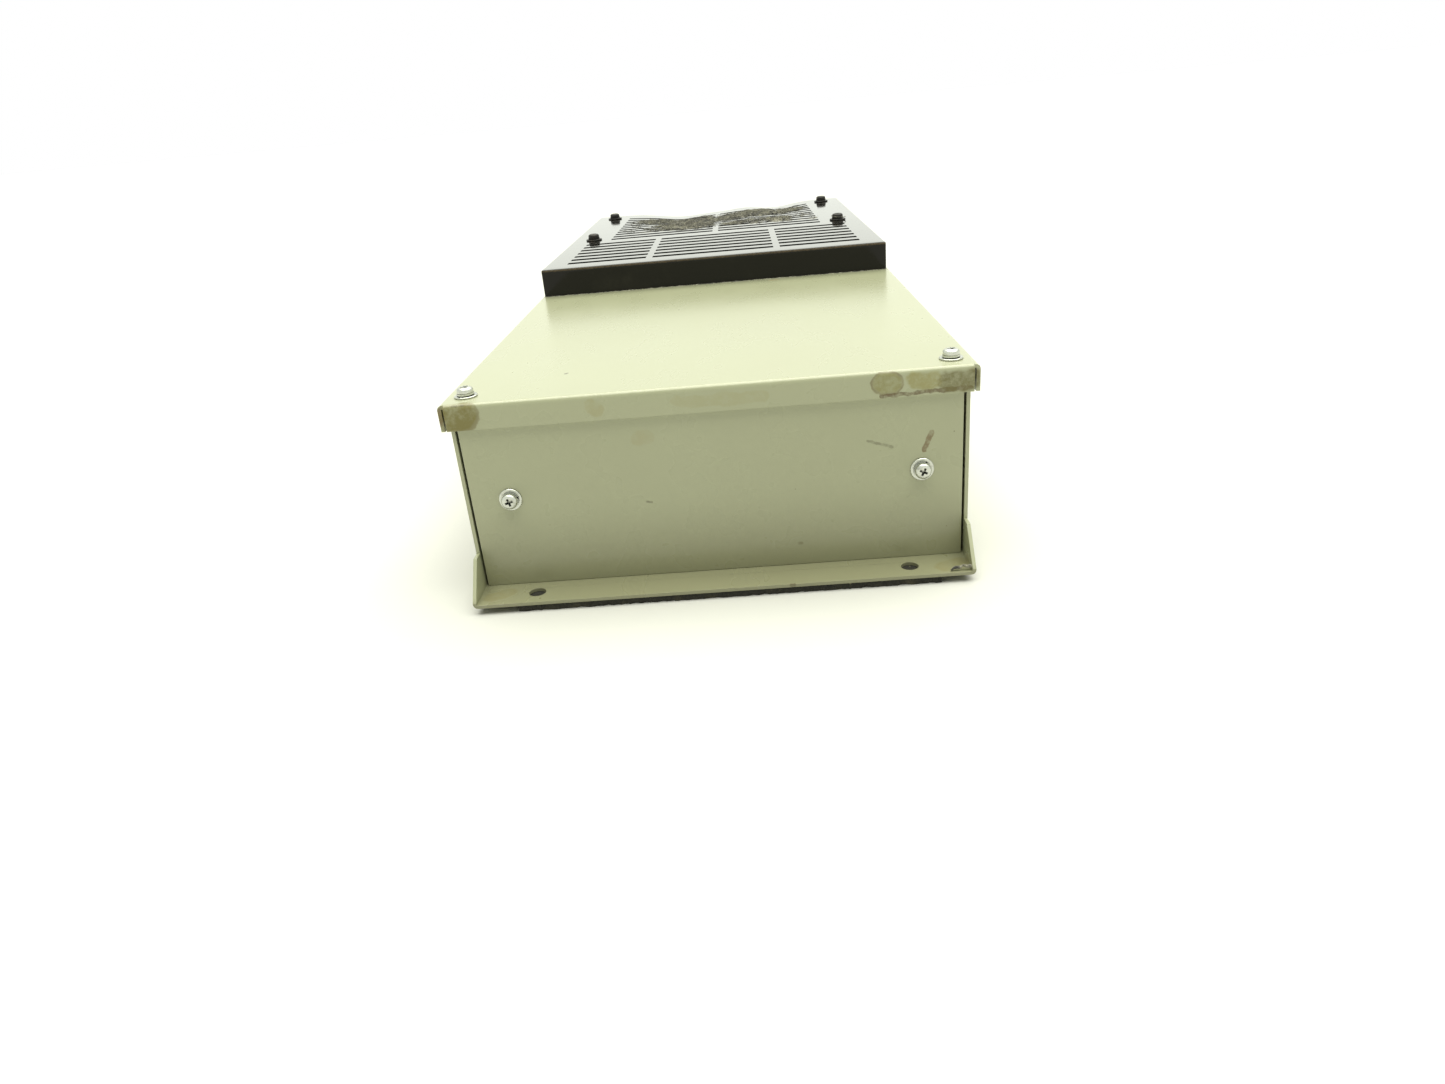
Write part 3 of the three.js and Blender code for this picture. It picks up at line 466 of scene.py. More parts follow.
def wobble(tree, place, size, amount):
    """The position shifted by noise, so that a mask's edge wanders."""
    inputs = {"Vector": place, "Scale": 1 / size, "Detail": 3.0}
    shift = add_node(tree, "ShaderNodeTexNoise", inputs).outputs["Color"]
    shift = add_node(tree, "ShaderNodeVectorMath", {0: shift, 1: (0.5, 0.5, 0.5)}, operation="SUBTRACT").outputs[0]
    shift = add_node(tree, "ShaderNodeVectorMath", {0: shift, 3: amount}, operation="SCALE").outputs[0]
    return add_node(tree, "ShaderNodeVectorMath", {0: place, 1: shift}, operation="ADD").outputs[0]


# ------------------------------------------------------------------ materials


def speckles(tree, place, spacing, size, share):
    """Sparse round dots: 1 inside a dot. Dots sit one to a cell, and only a share of the cells has one."""
    cells = add_node(tree, "ShaderNodeTexVoronoi", {"Vector": place, "Scale": 1 / spacing, "Randomness": 1.0})
    near = ramp(tree, cells.outputs["Distance"], size / spacing, 0.6 * size / spacing)
    draw = add_node(tree, "ShaderNodeSeparateColor", {"Color": cells.outputs["Color"]}).outputs["Red"]
    return calc(tree, "MULTIPLY", near, calc(tree, "LESS_THAN", draw, share))


def tint(tree, surface, mask, hex_value, roughness=None):
    """Lays a colour over the shader's colour where the mask is 1, and optionally its gloss."""
    socket = surface.inputs["Base Color"]
    under = socket.links[0].from_socket if socket.is_linked else tuple(socket.default_value)
    tree.links.new(mix_colour(tree, mask, under, linear(hex_value)), socket)
    if roughness is None:
        return
    socket = surface.inputs["Roughness"]
    under = socket.links[0].from_socket if socket.is_linked else socket.default_value
    inputs = {0: mask, 2: under, 3: roughness}
    tree.links.new(add_node(tree, "ShaderNodeMix", inputs).outputs[0], socket)


def stain(tree, surface, place, start, stop, radius, wander, hex_value, strength, kind="fill"):
    """Lays one old stain: a filled patch, or only its dried outline."""
    wandered = wobble(tree, place, max(wander * 3, 0.0015), wander * 2)
    mask = stroke_mask(tree, wandered, start, stop, radius, 0.35 if kind == "fill" else 0.12)
    if kind == "rim":
        hollow = stroke_mask(tree, wandered, start, stop, radius * 0.86, 0.25)
        mask = calc(tree, "SUBTRACT", mask, hollow)
    patchy = ramp(tree, noise_at(tree, place, max(radius, 0.002), 4.0, 0.7), 0.3, 0.6, 0.4, 1.0)
    tint(tree, surface, calc(tree, "MULTIPLY", calc(tree, "MULTIPLY", mask, patchy), strength), hex_value, 0.5)


def enamel(name, sheet, marks=(), foot=0.0, foot_shade=0.42):
    """Baked polyester enamel on steel: satin skin with slow waves, dust in the film, thumb grease.

    Each mark is (start, stop, radius, wander, colour, strength) and optionally "rim". Below the height
    given as foot, painted shade darkens the film towards the flange, by the share given as the last argument.
    """
    made, tree, surface, place = new_material(name, sheet.enamel, 0.3, **{"Coat Weight": 0.3, "Coat Roughness": 0.18})
    cloud = noise_at(tree, place, 0.07, 4.0)
    tint(tree, surface, ramp(tree, cloud, 0.2, 0.9, 0.0, 0.10), "#878166")
    dust = speckles(tree, place, 0.011, 0.00035, 0.35)
    tint(tree, surface, calc(tree, "MULTIPLY", dust, 0.65), "#4A4532")
    smear = noise_at(tree, place, 0.022, 3.0, 0.6, (1.0, 0.4, 1.0))
    tree.links.new(ramp(tree, smear, 0.2, 0.9, 0.26, 0.31), surface.inputs["Roughness"])
    for mark in marks:
        stain(tree, surface, place, *mark)
    # Painted shade: below the foot height the film darkens towards the flange, standing in for the shade that falls
    # there.
    if foot:
        height = add_node(tree, "ShaderNodeSeparateXYZ", {0: place}).outputs[2]
        tint(tree, surface, ramp(tree, height, foot, 0.004, 0.0, foot_shade), "#726D50")
    waves = noise_at(tree, place, 0.09, 1.0)
    bump(tree, surface, waves, 0.0003, 0.4)
    return made


def moulded(name, hex_value, roughness=0.42, grain=0.0004, dust="#8C8877", dusty=0.12, **shader):
    """Injection-moulded plastic with a spark-eroded grain, flow clouds and settled dust."""
    made, tree, surface, place = new_material(name, hex_value, roughness, **shader)
    cloud = noise_at(tree, place, 0.03, 4.0, 0.6)
    tint(tree, surface, ramp(tree, cloud, 0.45, 0.8, 0.0, dusty), dust)
    dots = speckles(tree, place, 0.006, 0.00025, 0.4)
    tint(tree, surface, calc(tree, "MULTIPLY", dots, min(1.0, dusty * 3)), dust)
    pits = noise_at(tree, place, grain, 2.0)
    tree.links.new(ramp(tree, cloud, 0.3, 0.8, roughness - 0.05, roughness + 0.1), surface.inputs["Roughness"])
    bump(tree, surface, pits, 0.00003, 0.35)
    return made


def plated(name, hex_value, roughness, stain="#6E6A5C", metallic=1.0, stretch=None):
    """Machined or plated metal: fine tool marks, cloudy passivation, a little staining, and painted shade in its
    recesses and gaps.
    """
    made, tree, surface, place = new_material(name, hex_value, roughness, metallic)
    cloud = noise_at(tree, place, 0.004, 4.0, 0.65)
    tint(tree, surface, ramp(tree, cloud, 0.5, 0.78, 0.0, 0.5), stain)
    # Painted shade: near-black laid where ambient occlusion finds recesses and gaps, such as the cross recess and
    # between the washers.
    corners = add_node(tree, "ShaderNodeAmbientOcclusion", {"Distance": 0.0015}, samples=6).outputs["AO"]
    tint(tree, surface, ramp(tree, corners, 0.75, 0.25, 0.0, 0.85), "#1E1B15")
    marks = noise_at(tree, place, 0.0005, 2.0, 0.5, stretch or (1.0, 1.0, 0.15))
    tree.links.new(ramp(tree, marks, 0.3, 0.7, roughness - 0.08, roughness + 0.12), surface.inputs["Roughness"])
    bump(tree, surface, marks, 0.00002, 0.4)
    return made


def layered(name, hex_value, second, pitch, axis, roughness, metallic=0.0):
    """Stacked sheets or wound wire: lines a pitch apart across an axis."""
    made, tree, surface, place = new_material(name, hex_value, roughness, metallic)
    inputs = {"Vector": place, "Scale": 1 / pitch / 20 * 2 * math.pi, "Distortion": 0.4, "Detail": 2.0}
    lines = add_node(tree, "ShaderNodeTexWave", inputs, bands_direction=axis).outputs["Fac"]
    tint(tree, surface, lines, second)
    tint(tree, surface, ramp(tree, noise_at(tree, place, 0.01, 4.0), 0.5, 0.8, 0.0, 0.4), "#4B4030")
    bump(tree, surface, lines, pitch / 4, 0.5)
    return made


def circuit(name):
    """Glass-epoxy board under green solder mask, with paler tracks and dust."""
    made, tree, surface, place = new_material(name, "#14502F", 0.3)
    inputs = {"Vector": place, "Scale": 1 / 0.004, "Color1": (0, 0, 0, 1), "Color2": (1, 1, 1, 1)}
    tracks = add_node(tree, "ShaderNodeTexBrick", inputs).outputs["Fac"]
    tint(tree, surface, calc(tree, "MULTIPLY", tracks, 0.6), "#2C7A4C")
    tint(tree, surface, speckles(tree, place, 0.005, 0.0007, 0.5), "#B9B7AE", 0.25)
    tint(tree, surface, ramp(tree, noise_at(tree, place, 0.02, 4.0), 0.5, 0.8, 0.0, 0.35), "#6B6A58", 0.7)
    bump(tree, surface, tracks, 0.00004, 0.5)
    return made


def foam(name, hex_value):
    """Closed-cell neoprene foam, cut rough, with open cells and grit."""
    made, tree, surface, place = new_material(name, hex_value, 0.85)
    cells = add_node(tree, "ShaderNodeTexVoronoi", {"Vector": place, "Scale": 1 / 0.0009}).outputs["Distance"]
    tint(tree, surface, ramp(tree, cells, 0.2, 0.7, 0.0, 0.5), "#15140F")
    tint(tree, surface, calc(tree, "MULTIPLY", speckles(tree, place, 0.0034, 0.0005, 0.35), 0.6), "#7F7A5C")
    tint(tree, surface, ramp(tree, noise_at(tree, place, 0.012, 5.0), 0.5, 0.8, 0.0, 0.5), "#5F5A44")
    bump(tree, surface, cells, 0.0004, 0.8)
    return made


def felt(name, lint):
    """Packed household lint: grey-brown fluff with pale fibres, and near-black patches of painted shade for its
    hollows.
    """
    made, tree, surface, place = new_material(name, lint.dark, 0.95, **{"Sheen Weight": 0.35, "Sheen Roughness": 0.6})
    fluff = noise_at(tree, place, 0.0042, 6.0, 0.8)
    tint(tree, surface, ramp(tree, fluff, 0.42, 0.58, 0.0, 0.9), "#8F8C78")
    strands = noise_at(tree, place, 0.0022, 5.0, 0.75, (1.0, 0.35, 0.6))
    tint(tree, surface, ramp(tree, strands, 0.5, 0.62, 0.0, 0.8), lint.light)
    # Painted shade: near-black patches standing for the shade in the lint's hollows.
    tint(tree, surface, ramp(tree, noise_at(tree, place, 0.008, 3.0), 0.54, 0.64, 0.0, 0.85), "#1A1915")
    bump(tree, surface, fluff, 0.0012, 0.9)
    return made


# ------------------------------------------------------------------ pieces of folded sheet


def facing_out(bm, inside):
    """Turns an open sheet's faces away from an inside point or line along Y."""
    total = 0.0
    for face in bm.faces:
        middle = face.calc_center_median()
        face.normal_update()
        total += face.normal.dot(middle - Vector((inside[0], middle.y, inside[2]))) * face.calc_area()
    if total < 0:
        bmesh.ops.reverse_faces(bm, faces=bm.faces)


def open_sheet(name, bm, materials, replaces, thickness, edge, inside=None):
    """A folded sheet from its outer skin, thickened inwards; it keeps the edge radius for finish_sheet, which softens
    the cut edges.
    """
    weld(bm)
    bmesh.ops.recalc_face_normals(bm, faces=bm.faces)
    if inside is not None:
        facing_out(bm, inside)
    mesh = bpy.data.meshes.new(name)
    bm.to_mesh(mesh)
    bm.free()
    piece = bpy.data.objects.new(name, mesh)
    bpy.context.scene.collection.objects.link(piece)
    for material in materials:
        mesh.materials.append(material)
    thicken(piece, thickness)
    piece["edge"] = edge
    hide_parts(*replaces)
    return piece


def finish_sheet(piece):
    """Last step of a sheet piece: soft edges, even normals, its body."""
    soften(piece, piece["edge"], 2, 40)
    del piece["edge"]
    piece.modifiers.new("Even normals", "WEIGHTED_NORMAL").keep_sharp = True
    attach(piece, BODY)


EAR_HEIGHT = 16.5 * MM
EAR_REACH = 5.6 * MM
RETURN = 10 * MM
RETURN_GAP = 1.9 * MM
MOUNT_HOLE_X = 82.2 * MM
MOUNT_HOLE_Y = 288.1 * MM
MOUNT_HOLE_RADIUS = 3.8 * MM
GROMMET_HOLE_RADIUS = 14 * MM
CUT_DEPTH = 8 * MM  # well past the sheet on both sides


def add_pan(sheet):
    """The folded back of the case: floor, side walls with returns, and a flange with ears at each end."""
    low, high = low_high("base_pan")
    face = -low_high("near_end_panel")[0].y
    floor_top = low.z + sheet.thickness
    ear = floor_top + EAR_HEIGHT
    bend = sheet.bend
    half = high.x
    outline = [(-half + RETURN, high.z), (-half, high.z), (-half, low.z), (half, low.z), (half, high.z)]
    outline = rounded(outline + [(half - RETURN, high.z)], bend, 4)
    wall = [(x, z) for x, z in outline if abs(x) < half - EPS or z < low.z + bend + EPS or z > ear]
    left = [(x, z) for x, z in wall if x < 0]
    low_left = [(x, z) for x, z in left if z < ear]
    high_left = [(x, z) for x, z in left if z > ear]
    lift = [(-half, ear)]
    path = high_left + lift + low_left
    path += [(-x, z) for x, z in reversed(path)]
    bm = bmesh.new()
    end = face - RETURN_GAP
    ys = merged([-face, face, -end, end], stations(-end, end, 60 * MM))

    def place(i, y):
        return Vector((path[int(i)][0], y, path[int(i)][1]))

    def keep(i, y):
        return abs(y) < end or max(path[int(i)][1], path[int(i) + 1][1]) < high.z - bend + EPS

    skin(bm, range(len(path)), ys, place, keep)
    ear_path = lift + low_left
    ear_path += [(-x, z) for x, z in reversed(ear_path)]
    toe = floor_top + sheet.thickness * 0.6
    for end_sign in (-1, 1):
        ys = merged([face, face + EAR_REACH], stations(face + EAR_REACH, high.y, 6 * MM))
        base = low.z + bend

        def at_ear(i, y, end_sign=end_sign, base=base):
            x, z = ear_path[int(i)]
            t = max(0.0, (y - face - EAR_REACH) / (high.y - face - EAR_REACH))
            if z > base + EPS:
                z = base + (ear - base) * (1 - t) + max(0.0, toe - base) * t
            return Vector((x, end_sign * y, z))

        skin(bm, range(len(ear_path)), ys, at_ear)
    marks = [
        ((-0.102, -0.290, 0.0046), (-0.096, -0.287, 0.0046), 0.005, 0.002, "#948D5C", 0.5),
        ((0.098, -0.291, 0.0046), (0.104, -0.288, 0.0046), 0.006, 0.002, "#948D5C", 0.55),
        ((0.030, -0.2975, 0.0040), (0.0312, -0.2975, 0.0040), 0.0010, 0.0005, "#5B5238", 0.9),
    ]
    # Painted shade: the case darkens below 8 mm towards the flange, standing in for the shade from the box and the
    # cover lip.
    paint = enamel("Baked enamel, case", sheet, marks, 0.008, 0.5)
    piece = open_sheet("case_pan", bm, [paint], ["base_pan"], sheet.thickness, sheet.edge, (0, 0, 0.045))
    holes = []
    for end_sign in (-1, 1):
        for side in (-1, 1):
            hole = Vector((side * MOUNT_HOLE_X, end_sign * MOUNT_HOLE_Y, low.z))
            holes.append((hole, (0, 0, 1), MOUNT_HOLE_RADIUS, CUT_DEPTH))
    for name in frame["nodes"]:
        if "grommet" in name:
            middle = centre_of(name)
            holes.append((Vector((low.x, middle.y, middle.z)), (1, 0, 0), GROMMET_HOLE_RADIUS, CUT_DEPTH))
    drill(piece, holes)
    finish_sheet(piece)


def add_end_panel(name, sheet):
    """An end panel: one sheet with a return along its top."""
    low, high = low_high(name)
    sign = -1 if low.y < 0 else 1
    face = low.y if sign < 0 else high.y
    back = high.y if sign < 0 else low.y
    outline = rounded([(back, high.z), (face, high.z), (face, low.z)], sheet.bend, 4)
    fold_half = low_high("base_pan")[1].x - RETURN - 1 * MM
    xs = merged([low.x, high.x, -fold_half, fold_half], stations(-fold_half, fold_half, 40 * MM))
    bm = bmesh.new()

    def place(i, x):
        y, z = outline[int(i)]
        return Vector((x, y, z))

    def keep(i, x):
        return abs(x) < fold_half or outline[int(i)][1] < high.z - sheet.bend + EPS

    skin(bm, range(len(outline)), xs, place, keep)
    marks = []
    if sign < 0:
        marks = [
            ((0.0930, face, 0.0618), (0.0900, face, 0.0543), 0.0013, 0.0006, "#6F5C38", 0.85),
            ((0.0660, face, 0.0602), (0.0765, face, 0.0566), 0.0007, 0.0005, "#57543A", 0.55),
            ((-0.0300, face, 0.0400), (-0.0280, face, 0.0397), 0.0006, 0.0003, "#4F4A36", 0.6),
            ((0.0350, face, 0.0150), (0.0362, face, 0.0150), 0.0008, 0.0004, "#6A6445", 0.6),
            ((-0.0300, face, 0.0690), (-0.0270, face, 0.0690), 0.0040, 0.0020, "#9A926A", 0.35),
        ]
    # Painted shade: each end panel darkens below 45 mm towards the flange, standing in for the shade there.
    paint = enamel("Baked enamel, " + name.replace("_", " "), sheet, marks, 0.045)
    piece = open_sheet(name + "_sheet", bm, [paint], [name], sheet.thickness, sheet.edge, None)
    wanted = Vector((0, sign, 0))
    large = max(piece.data.polygons, key=lambda polygon: polygon.area)
    if large.normal.dot(wanted) < 0 and abs(large.center.y - face) < EPS:
        piece.data.flip_normals()
    finish_sheet(piece)


def add_cover(sheet):
    """The front cover: a flat lid whose lips are folded down, open at the corners, with a window under the hood."""
    low, high = low_high("front_cover")
    hood_low, hood_high = low_high("vent_hood")
    bend = sheet.bend
    inset = sheet.thickness + sheet.corner_gap
    corner = high.x - inset
    window = hood_high.x - 10 * MM
    window_y = (hood_low.y + 10 * MM, hood_high.y - 11.6 * MM)
    lid = rounded([(low.x, low.z), (low.x, high.z), (high.x, high.z), (high.x, low.z)], bend, 5)
    flats = [(x, high.z) for x in merged([-corner, corner, -window, window], stations(-window, window, 60 * MM))]
    left = [point for point in lid if point[0] < 0]
    path = left + [p for p in flats if abs(p[0]) < high.x - bend - EPS] + [(-x, z) for x, z in reversed(left)]
    flat_end = high.y - bend
    slit = high.y - 0.3 * MM
    ys = merged([-slit, -flat_end, flat_end, slit, *window_y], stations(-flat_end, flat_end, 60 * MM))
    bm = bmesh.new()

    def place(i, y):
        x, z = path[int(i)]
        return Vector((x, y, z))

    def keep(i, y):
        a, b = path[int(i)], path[int(i) + 1]
        middle = (a[0] + b[0]) / 2
        if abs(middle) < corner and abs(y) > flat_end:
            return False
        return not (abs(middle) < window and window_y[0] < y < window_y[1])

    skin(bm, range(len(path)), ys, place, keep)
    lip = rounded([(0, high.z), (high.y, high.z), (high.y, low.z)], bend, 5)[1:]
    xs = [p[0] for p in flats]
    for sign in (-1, 1):

        def at_lip(i, x, sign=sign):
            y, z = lip[int(i)]
            return Vector((x, sign * y, z))

        skin(bm, range(len(lip)), xs, at_lip)
    y = low.y
    marks = [
        ((-0.1080, y, 0.0845), (-0.1010, y, 0.0845), 0.0066, 0.0022, sheet.grime, 0.95),
        ((-0.1080, y, 0.0845), (-0.1010, y, 0.0845), 0.0066, 0.0022, "#6B6238", 0.60, "rim"),
        ((-0.1060, y, 0.0898), (-0.0990, y, 0.0898), 0.0012, 0.0012, "#57512F", 0.85),
        ((-0.0480, y, 0.0850), (-0.0460, y, 0.0835), 0.0035, 0.0016, "#979163", 0.45),
        ((-0.0120, y, 0.0840), (0.0230, y, 0.0835), 0.0032, 0.0024, "#979163", 0.30),
        ((0.0725, y, 0.0850), (0.0765, y, 0.0848), 0.0050, 0.0014, "#777027", 0.70),
        ((0.0725, y, 0.0850), (0.0765, y, 0.0848), 0.0052, 0.0014, "#6F6440", 0.80, "rim"),
        ((0.0720, y, 0.0797), (0.1090, y, 0.0806), 0.0011, 0.0012, "#5B4B2B", 0.85),
        ((0.0860, y, 0.0850), (0.0930, y, 0.0846), 0.0046, 0.0020, "#8C8548", 0.75),
        ((0.0990, y, 0.0835), (0.1090, y, 0.0840), 0.0050, 0.0026, "#5E571C", 0.85),
        ((-0.1120, y, 0.0880), (-0.1120, y, 0.0820), 0.0012, 0.0008, "#6B5A34", 0.80),
        ((-0.0640, -0.2420, 0.0900), (-0.0636, -0.2410, 0.0900), 0.0009, 0.0003, "#3B372A", 1.00),
        ((0.0360, -0.0400, 0.0900), (0.0400, -0.0400, 0.0900), 0.0014, 0.0014, "#A3895A", 0.70),
        ((0.0420, -0.0500, 0.0900), (0.0700, -0.0560, 0.0900), 0.0004, 0.0010, "#8E8A6A", 0.60),
    ]
    paint = enamel("Baked enamel, cover", sheet, marks)
    piece = open_sheet(
        "lipped_cover", bm, [paint], ["front_cover"], sheet.thickness, sheet.edge, (0, 0, 0.02)
    )
    finish_sheet(piece)


# ------------------------------------------------------------------ hood


def bell(value, centre, width):
    return math.exp(-(((value - centre) / width) ** 2))


def hood_sag(x, y, amount):
    """How far the hood's top has sunk at a place: two sinks along the far edge and wavy bars ahead of them."""
    far = low_high("vent_hood")[1].y
    back = max(0.0, min(1.0, (y - far + 0.150) / 0.150))
    back = back * back * (3 - 2 * back)
    across = bell(x, -0.030, 0.030) + 0.75 * bell(x, 0.052, 0.020) + 0.35 * bell(x, 0.010, 0.018)
    ripple = noise.noise(Vector((x / 0.021, y / 0.017, 3.1))) * 0.16 * max(0.0, 1 - abs(x) / 0.09)
    return amount * back * (across + ripple)


def add_hood(hood):
    """The moulded hood: a lattice of slots on a shallow box, sunk by heat at its far end."""
    low, high = low_high("vent_hood")
    slots = slot_rectangles()
    xs = merged([low.x, high.x], [x for s in slots for x in s[:2]])
    ys = merged([low.y, high.y], [y for s in slots for y in s[2:]])
    xs = filled(xs, 9 * MM)
    ys = filled(ys, 9 * MM)
    zs = merged([low.z, high.z - 2.5 * MM, high.z], [low.z + 5 * MM])
    bm = bmesh.new()

    def solid(x, y):
        return not any(x0 < x < x1 and y0 < y < y1 for x0, x1, y0, y1 in slots)

    skin(bm, xs, ys, lambda x, y: Vector((x, y, high.z)), solid)
    for x in (low.x, high.x):
        skin(bm, ys, zs, lambda y, z, x=x: Vector((x, y, z)))
    for y in (low.y, high.y):
        skin(bm, xs, zs, lambda x, z, y=y: Vector((x, y, z)))
    weld(bm)
    bmesh.ops.recalc_face_normals(bm, faces=bm.faces)
    rims = [edge for edge in bm.edges if len(edge.link_faces) == 2 and edge.calc_face_angle() > 1]
    bmesh.ops.bevel(bm, geom=rims, offset=hood.rim, segments=3, profile=0.5, affect="EDGES")
    facing_out(bm, (0, 0, 0.07))
    mesh = bpy.data.meshes.new("hood_moulding")
    bm.to_mesh(mesh)
    bm.free()
    piece = bpy.data.objects.new("hood_moulding", mesh)
    bpy.context.scene.collection.objects.link(piece)
    mesh.materials.append(hood_plastic(hood))
    thicken(piece, hood.wall)
    soften(piece, hood.slot_rim, 2, 40)
    height = high.z - low.z
    for vertex in piece.data.vertices:
        share = max(0.0, min(1.0, (vertex.co.z - low.z) / height))
        vertex.co.z -= hood_sag(vertex.co.x, vertex.co.y, hood.sag) * share**1.5
    piece.modifiers.new("Even normals", "WEIGHTED_NORMAL").keep_sharp = True
    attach(piece, BODY)
    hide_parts("vent_hood")


def hood_plastic(hood):
    """Glass-filled moulding compound: near black and brownish, glossy skin, dust worn into its edges."""
    gloss = {"Specular IOR Level": 0.2, "Coat Roughness": 0.07, "Coat IOR": 1.6}
    made, tree, surface, place = new_material("Moulded hood plastic", hood.plastic, 0.12, **gloss)
    slant = add_node(tree, "ShaderNodeLayerWeight", {"Blend": 0.5}).outputs["Facing"]
    tree.links.new(ramp(tree, slant, 0.6, 0.9, 0.0, 0.8), surface.inputs["Coat Weight"])
    cloud = noise_at(tree, place, 0.035, 4.0, 0.6)
    tint(tree, surface, ramp(tree, cloud, 0.5, 0.8, 0.0, 0.05), hood.dust)
    tint(tree, surface, speckles(tree, place, 0.009, 0.0003, 0.3), "#5D594C")
    low, high = low_high("vent_hood")
    y = low.y
    rub = (low.x, y, high.z - 0.0008), (high.x, y, high.z - 0.0008), 0.0007, 0.0004, "#6A5B43", 0.55
    # Painted shade: a near-black band along the foot of the near face, where the hood meets the cover.
    joint_shade = (low.x, y, low.z), (high.x, y, low.z), 0.0012, 0.0008, "#14120D", 0.6
    for mark in (rub, joint_shade):
        stain(tree, surface, place, *mark)
    tree.links.new(ramp(tree, cloud, 0.35, 0.8, 0.07, 0.14), surface.inputs["Roughness"])
    under = bump(tree, surface, noise_at(tree, place, 0.05, 1.0), 0.0002, 0.4)
    bump(tree, surface, noise_at(tree, place, 0.0006, 2.0), 0.000004, 0.3, under)
    return made


# ------------------------------------------------------------------ screws


def washers_bm(head, washer, washer_height, spring):
    """A flat washer under a split spring washer, standing on z = 0."""
    bm = bmesh.new()
    edge = 0.15 * MM
    hole = head * 0.62
    rim = [(hole, 0), (washer - edge, 0), (washer, edge), (washer, washer_height - edge)]
    turned(bm, rim + [(washer - edge, washer_height), (hole, washer_height), (hole, 0)], 40)
    ring = head * 1.06
    rings = []
    for i in range(37):
        angle = 0.09 + (2 * math.pi - 0.18) * i / 36
        lift = washer_height + 0.35 * MM * i / 36
        across = Vector((math.cos(angle), math.sin(angle), 0))
        corners = [(hole, 0), (ring, 0.05 * MM), (ring, spring - 0.05 * MM), (hole, spring)]
        rings.append([bm.verts.new(across * r + Vector((0, 0, lift + z))) for r, z in corners])
    for a, b in zip(rings, rings[1:]):
        for k in range(4):
            bm.faces.new((a[k], b[k], b[(k + 1) % 4], a[(k + 1) % 4]))
    bm.faces.new(rings[0])
    bm.faces.new(list(reversed(rings[-1])))
    return bm


def head_bm(head, base, top):
    """A pan head from its seat to its crown, with a short neck through the washers."""
    bm = bmesh.new()
    edge = 0.2 * MM
    wall = base + (top - base) * 0.5
    crown = [
        (head, wall),
        (head * 0.95, wall + (top - wall) * 0.45),
        (head * 0.8, wall + (top - wall) * 0.82),
        (head * 0.6, top),
        (0, top),
    ]
    neck = head * 0.55
    turned(bm, [(0, 0), (neck, 0), (neck, base), (head - edge, base), (head, base + edge)] + crown, 40)
    bmesh.ops.recalc_face_normals(bm, faces=bm.faces)
    return bm


def wing_bm(head, top, depth, turn):
    """One tapered wing of a cross recess, as a cutter."""
    bm = bmesh.new()
    verts = []
    angle = math.radians(turn)
    for z, reach, half in ((top + 1 * MM, head * 0.66, head * 0.17), (top - depth, head * 0.26, head * 0.10)):
        for x, y in ((-reach, -half), (reach, -half), (reach, half), (-reach, half)):
            place = (x * math.cos(angle) - y * math.sin(angle), x * math.sin(angle) + y * math.cos(angle), z)
            verts.append(bm.verts.new(place))
    for face in [(0, 1, 2, 3), (7, 6, 5, 4)] + [(i, i + 4, (i + 1) % 4 + 4, (i + 1) % 4) for i in range(4)]:
        bm.faces.new([verts[i] for i in face])
    bmesh.ops.recalc_face_normals(bm, faces=bm.faces)
    return bm


def screw_mesh(head, head_height, washer, washer_height, recess):
    """The whole screw as one mesh standing on z = 0, and its height."""
    spring = 0.9 * MM
    top = head_height + washer_height
    base = washer_height + spring + 0.1 * MM
    mesh = bpy.data.meshes.new("screw")
    bm = head_bm(head, base, top)
    bm.to_mesh(mesh)
    bm.free()
    master = bpy.data.objects.new("screw", mesh)
    bpy.context.scene.collection.objects.link(master)
    for turn in (0, 90):
        subtract(master, wing_bm(head, top, recess, turn))
    bm = washers_bm(head, washer, washer_height, spring)
    bmesh.ops.recalc_face_normals(bm, faces=bm.faces)
    bm.from_mesh(master.data)
    made = bpy.data.meshes.new("screw")
    bm.to_mesh(made)
    bm.free()
    bpy.data.objects.remove(master)
    return made, top


SCREWS = {
    "near_panel_screw_left": ((0, -1, 0), 17),
    "near_panel_screw_right": ((0, -1, 0), 64),
    "far_panel_screw_left": ((0, 1, 0), 31),
    "far_panel_screw_right": ((0, 1, 0), 78),
    "cover_screw_left": ((0, 0, 1), 38),
    "cover_screw_right": ((0, 0, 1), 12),
    "hood_screw_near_left": ((0, 0, 1), 25),
    "hood_screw_near_right": ((0, 0, 1), 70),
    "hood_screw_far_left": ((0, 0, 1), 51),
    "hood_screw_far_right": ((0, 0, 1), 9),
}


def add_screws(screws):
    """Ten screws: bright zinc on the steel, blackened on the hood, each turned to its own angle."""
    zinc = plated("Bright zinc plate", screws.zinc, 0.26)
    black = plated("Black oxide steel", screws.black, 0.42, "#5B4A38", 0.7)
    kinds = {}
    for hood_kind in (False, True):
        sizes = (4.1, 3.8, 6.0, 1.0) if hood_kind else (3.5, 3.5, 5.0, 0.8)
        kinds[hood_kind] = screw_mesh(*[value * MM for value in sizes], screws.recess)
    for node, (axis, turn) in SCREWS.items():
        low, high = low_high(node)
        mesh, top = kinds[node.startswith("hood")]
        mesh = mesh.copy()
        mesh.materials.clear()
        mesh.materials.append(black if node.startswith("hood") else zinc)
        tip = centre_of(node)
        direction = Vector(axis)
        for i in range(3):
            if axis[i]:
                tip[i] = (high if axis[i] > 0 else low)[i]
        matrix = Matrix.Translation(tip - direction * top) @ along(axis) @ Matrix.Rotation(math.radians(turn), 4, "Z")
        if node.startswith("hood"):
            matrix = Matrix.Translation((0, 0, -EPS)) @ matrix
        mesh.transform(matrix)
        piece = bpy.data.objects.new(node + "_finished", mesh)
        bpy.context.scene.collection.objects.link(piece)
        shade(piece, 32)
        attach(piece, BODY)
        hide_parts(node)


# ------------------------------------------------------------------ foam, lint and debris


